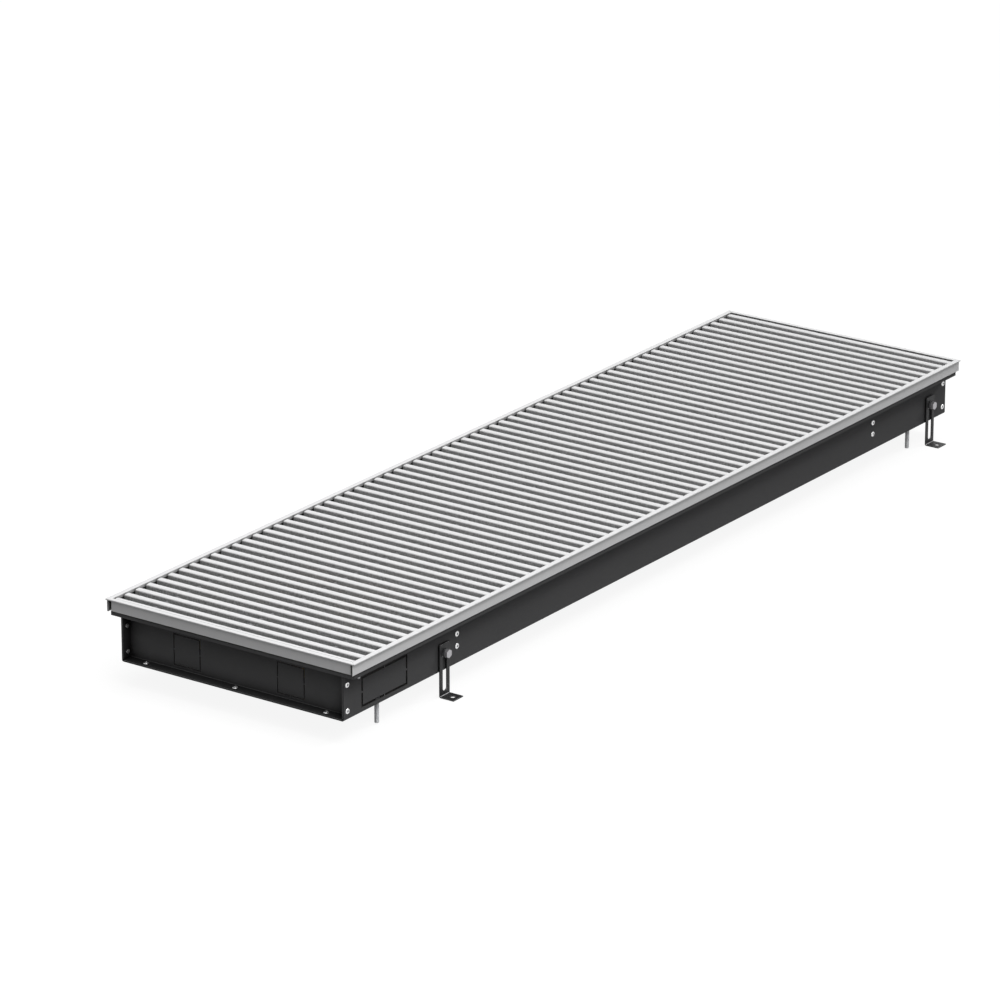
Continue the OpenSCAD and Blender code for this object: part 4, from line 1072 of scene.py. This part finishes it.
class HEATER_OT_stage(bpy.types.Operator):
    """Sets the camera, the floor, the sky and the soft lights"""

    bl_idname = "heater.stage"
    bl_label = "Studio"
    floor_half = 30
    floor_drop = 0.2 * MM
    sensor = 36
    far_limit = 100
    middle = (0, 0, 0)
    top_place = (0.6, -0.4, 4)
    front_place = (-1.3, -1.6, 2.0)
    front_target = (-0.5, 0, 0.05)
    front_size = 1.8
    side_place = (3.1, -1.4, 2.2)
    side_spread = math.radians(8)

    def floor_finish(self, studio):
        material = bpy.data.materials.new("studio_floor")
        sketch = blank(material)
        plain = sketch.add("ShaderNodeBsdfDiffuse", {"Color": rgba(studio.floor_colour)})
        strength = sketch.math("MULTIPLY", sketch.pale_rays(), studio.floor_lift)
        glow = sketch.add("ShaderNodeEmission", {"Color": (1, 1, 1, 1), "Strength": strength})
        both = sketch.add("ShaderNodeAddShader", {0: plain.outputs[0], 1: glow.outputs[0]})
        sketch.add("ShaderNodeOutputMaterial", {"Surface": both.outputs[0]})
        return material

    def sky(self, studio, scene):
        scene.world = bpy.data.worlds.new("studio_sky")
        sketch = blank(scene.world)
        strength = sketch.spread(sketch.pale_rays(), 0.0, 1.0, studio.sky_strength, 1.0)
        back = sketch.add("ShaderNodeBackground", {"Color": (1, 1, 1, 1), "Strength": strength})
        sketch.add("ShaderNodeOutputWorld", {"Surface": back.outputs[0]})

    def lamp(self, name, kind, place, target, **settings):
        data = bpy.data.lights.new(name, kind)
        for key, value in settings.items():
            setattr(data, key, value)
        lamp = bpy.data.objects.new(name, data)
        bpy.context.scene.collection.objects.link(lamp)
        lamp.location = place
        lamp.rotation_euler = (Vector(target) - Vector(place)).to_track_quat("-Z", "Y").to_euler()
        return lamp

    def floor(self, studio, scene):
        mesh = bmesh.new()
        bmesh.ops.create_grid(mesh, x_segments=8, y_segments=8, size=self.floor_half)
        bmesh.ops.translate(mesh, verts=mesh.verts, vec=(0, 0, -self.floor_drop))
        data = bpy.data.meshes.new("studio_floor")
        mesh.to_mesh(data)
        mesh.free()
        data.materials.append(self.floor_finish(studio))
        floor = bpy.data.objects.new("studio_floor", data)
        scene.collection.objects.link(floor)

    def camera(self, studio, scene):
        data = bpy.data.cameras.new("photo_camera")
        data.lens = studio.camera_lens
        data.sensor_width = self.sensor
        data.clip_end = self.far_limit
        camera = bpy.data.objects.new("photo_camera", data)
        scene.collection.objects.link(camera)
        camera.location = studio.camera_place
        camera.rotation_euler = studio.camera_turn
        scene.camera = camera

    def execute(self, context):
        studio, scene = context.scene.heater_studio, context.scene
        self.floor(studio, scene)
        self.sky(studio, scene)
        self.lamp("top_light", "SUN", self.top_place, self.middle, energy=studio.top_strength,
                  angle=studio.top_spread)
        self.lamp("front_light", "AREA", self.front_place, self.front_target, energy=studio.front_power,
                  size=self.front_size)
        self.lamp("side_light", "SUN", self.side_place, self.middle, energy=studio.side_strength,
                  angle=self.side_spread)
        self.camera(studio, scene)
        scene.view_settings.view_transform = "Standard"
        return {"FINISHED"}


class HEATER_PT_panel(bpy.types.Panel):
    """Lists the steps that dress the heater"""

    bl_idname = "HEATER_PT_panel"
    bl_label = "Trench Heater"
    bl_space_type = "VIEW_3D"
    bl_region_type = "UI"
    bl_category = "Trench Heater"

    def draw(self, context):
        for step in STEPS:
            self.layout.operator(step.bl_idname)
        for name in SETTINGS:
            group = getattr(context.scene, name)
            box = self.layout.box()
            for key in group.__annotations__:
                box.prop(group, key)


SETTINGS = {"heater_slats": SlatSettings, "heater_hardware": HardwareSettings,
            "heater_sheets": SheetSettings, "heater_finishes": FinishSettings,
            "heater_studio": StudioSettings}
STEPS = (HEATER_OT_stage, HEATER_OT_slats, HEATER_OT_frame, HEATER_OT_seat, HEATER_OT_casing,
         HEATER_OT_rivets, HEATER_OT_exchanger, HEATER_OT_connections, HEATER_OT_feet,
         HEATER_OT_levelling, HEATER_OT_nuts)


def register():
    for name, group in SETTINGS.items():
        bpy.utils.register_class(group)
        setattr(bpy.types.Scene, name, PointerProperty(type=group))
    for step in STEPS:
        bpy.utils.register_class(step)
    bpy.utils.register_class(HEATER_PT_panel)


def unregister():
    bpy.utils.unregister_class(HEATER_PT_panel)
    for step in reversed(STEPS):
        bpy.utils.unregister_class(step)
    for name, group in SETTINGS.items():
        delattr(bpy.types.Scene, name)
        bpy.utils.unregister_class(group)


def clear_start():
    """Removes what a new Blender file holds, so that only the frame is left."""
    kept = set(frame["nodes"].values()) | set(frame["bodies"].values())
    for thing in list(bpy.data.objects):
        if thing not in kept:
            bpy.data.objects.remove(thing)


def main():
    clear_start()
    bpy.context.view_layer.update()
    register()
    make_finishes(bpy.context.scene.heater_finishes)
    for step in STEPS:
        area, name = step.bl_idname.split(".")
        getattr(getattr(bpy.ops, area), name)()


if __name__ == "__main__":
    main()
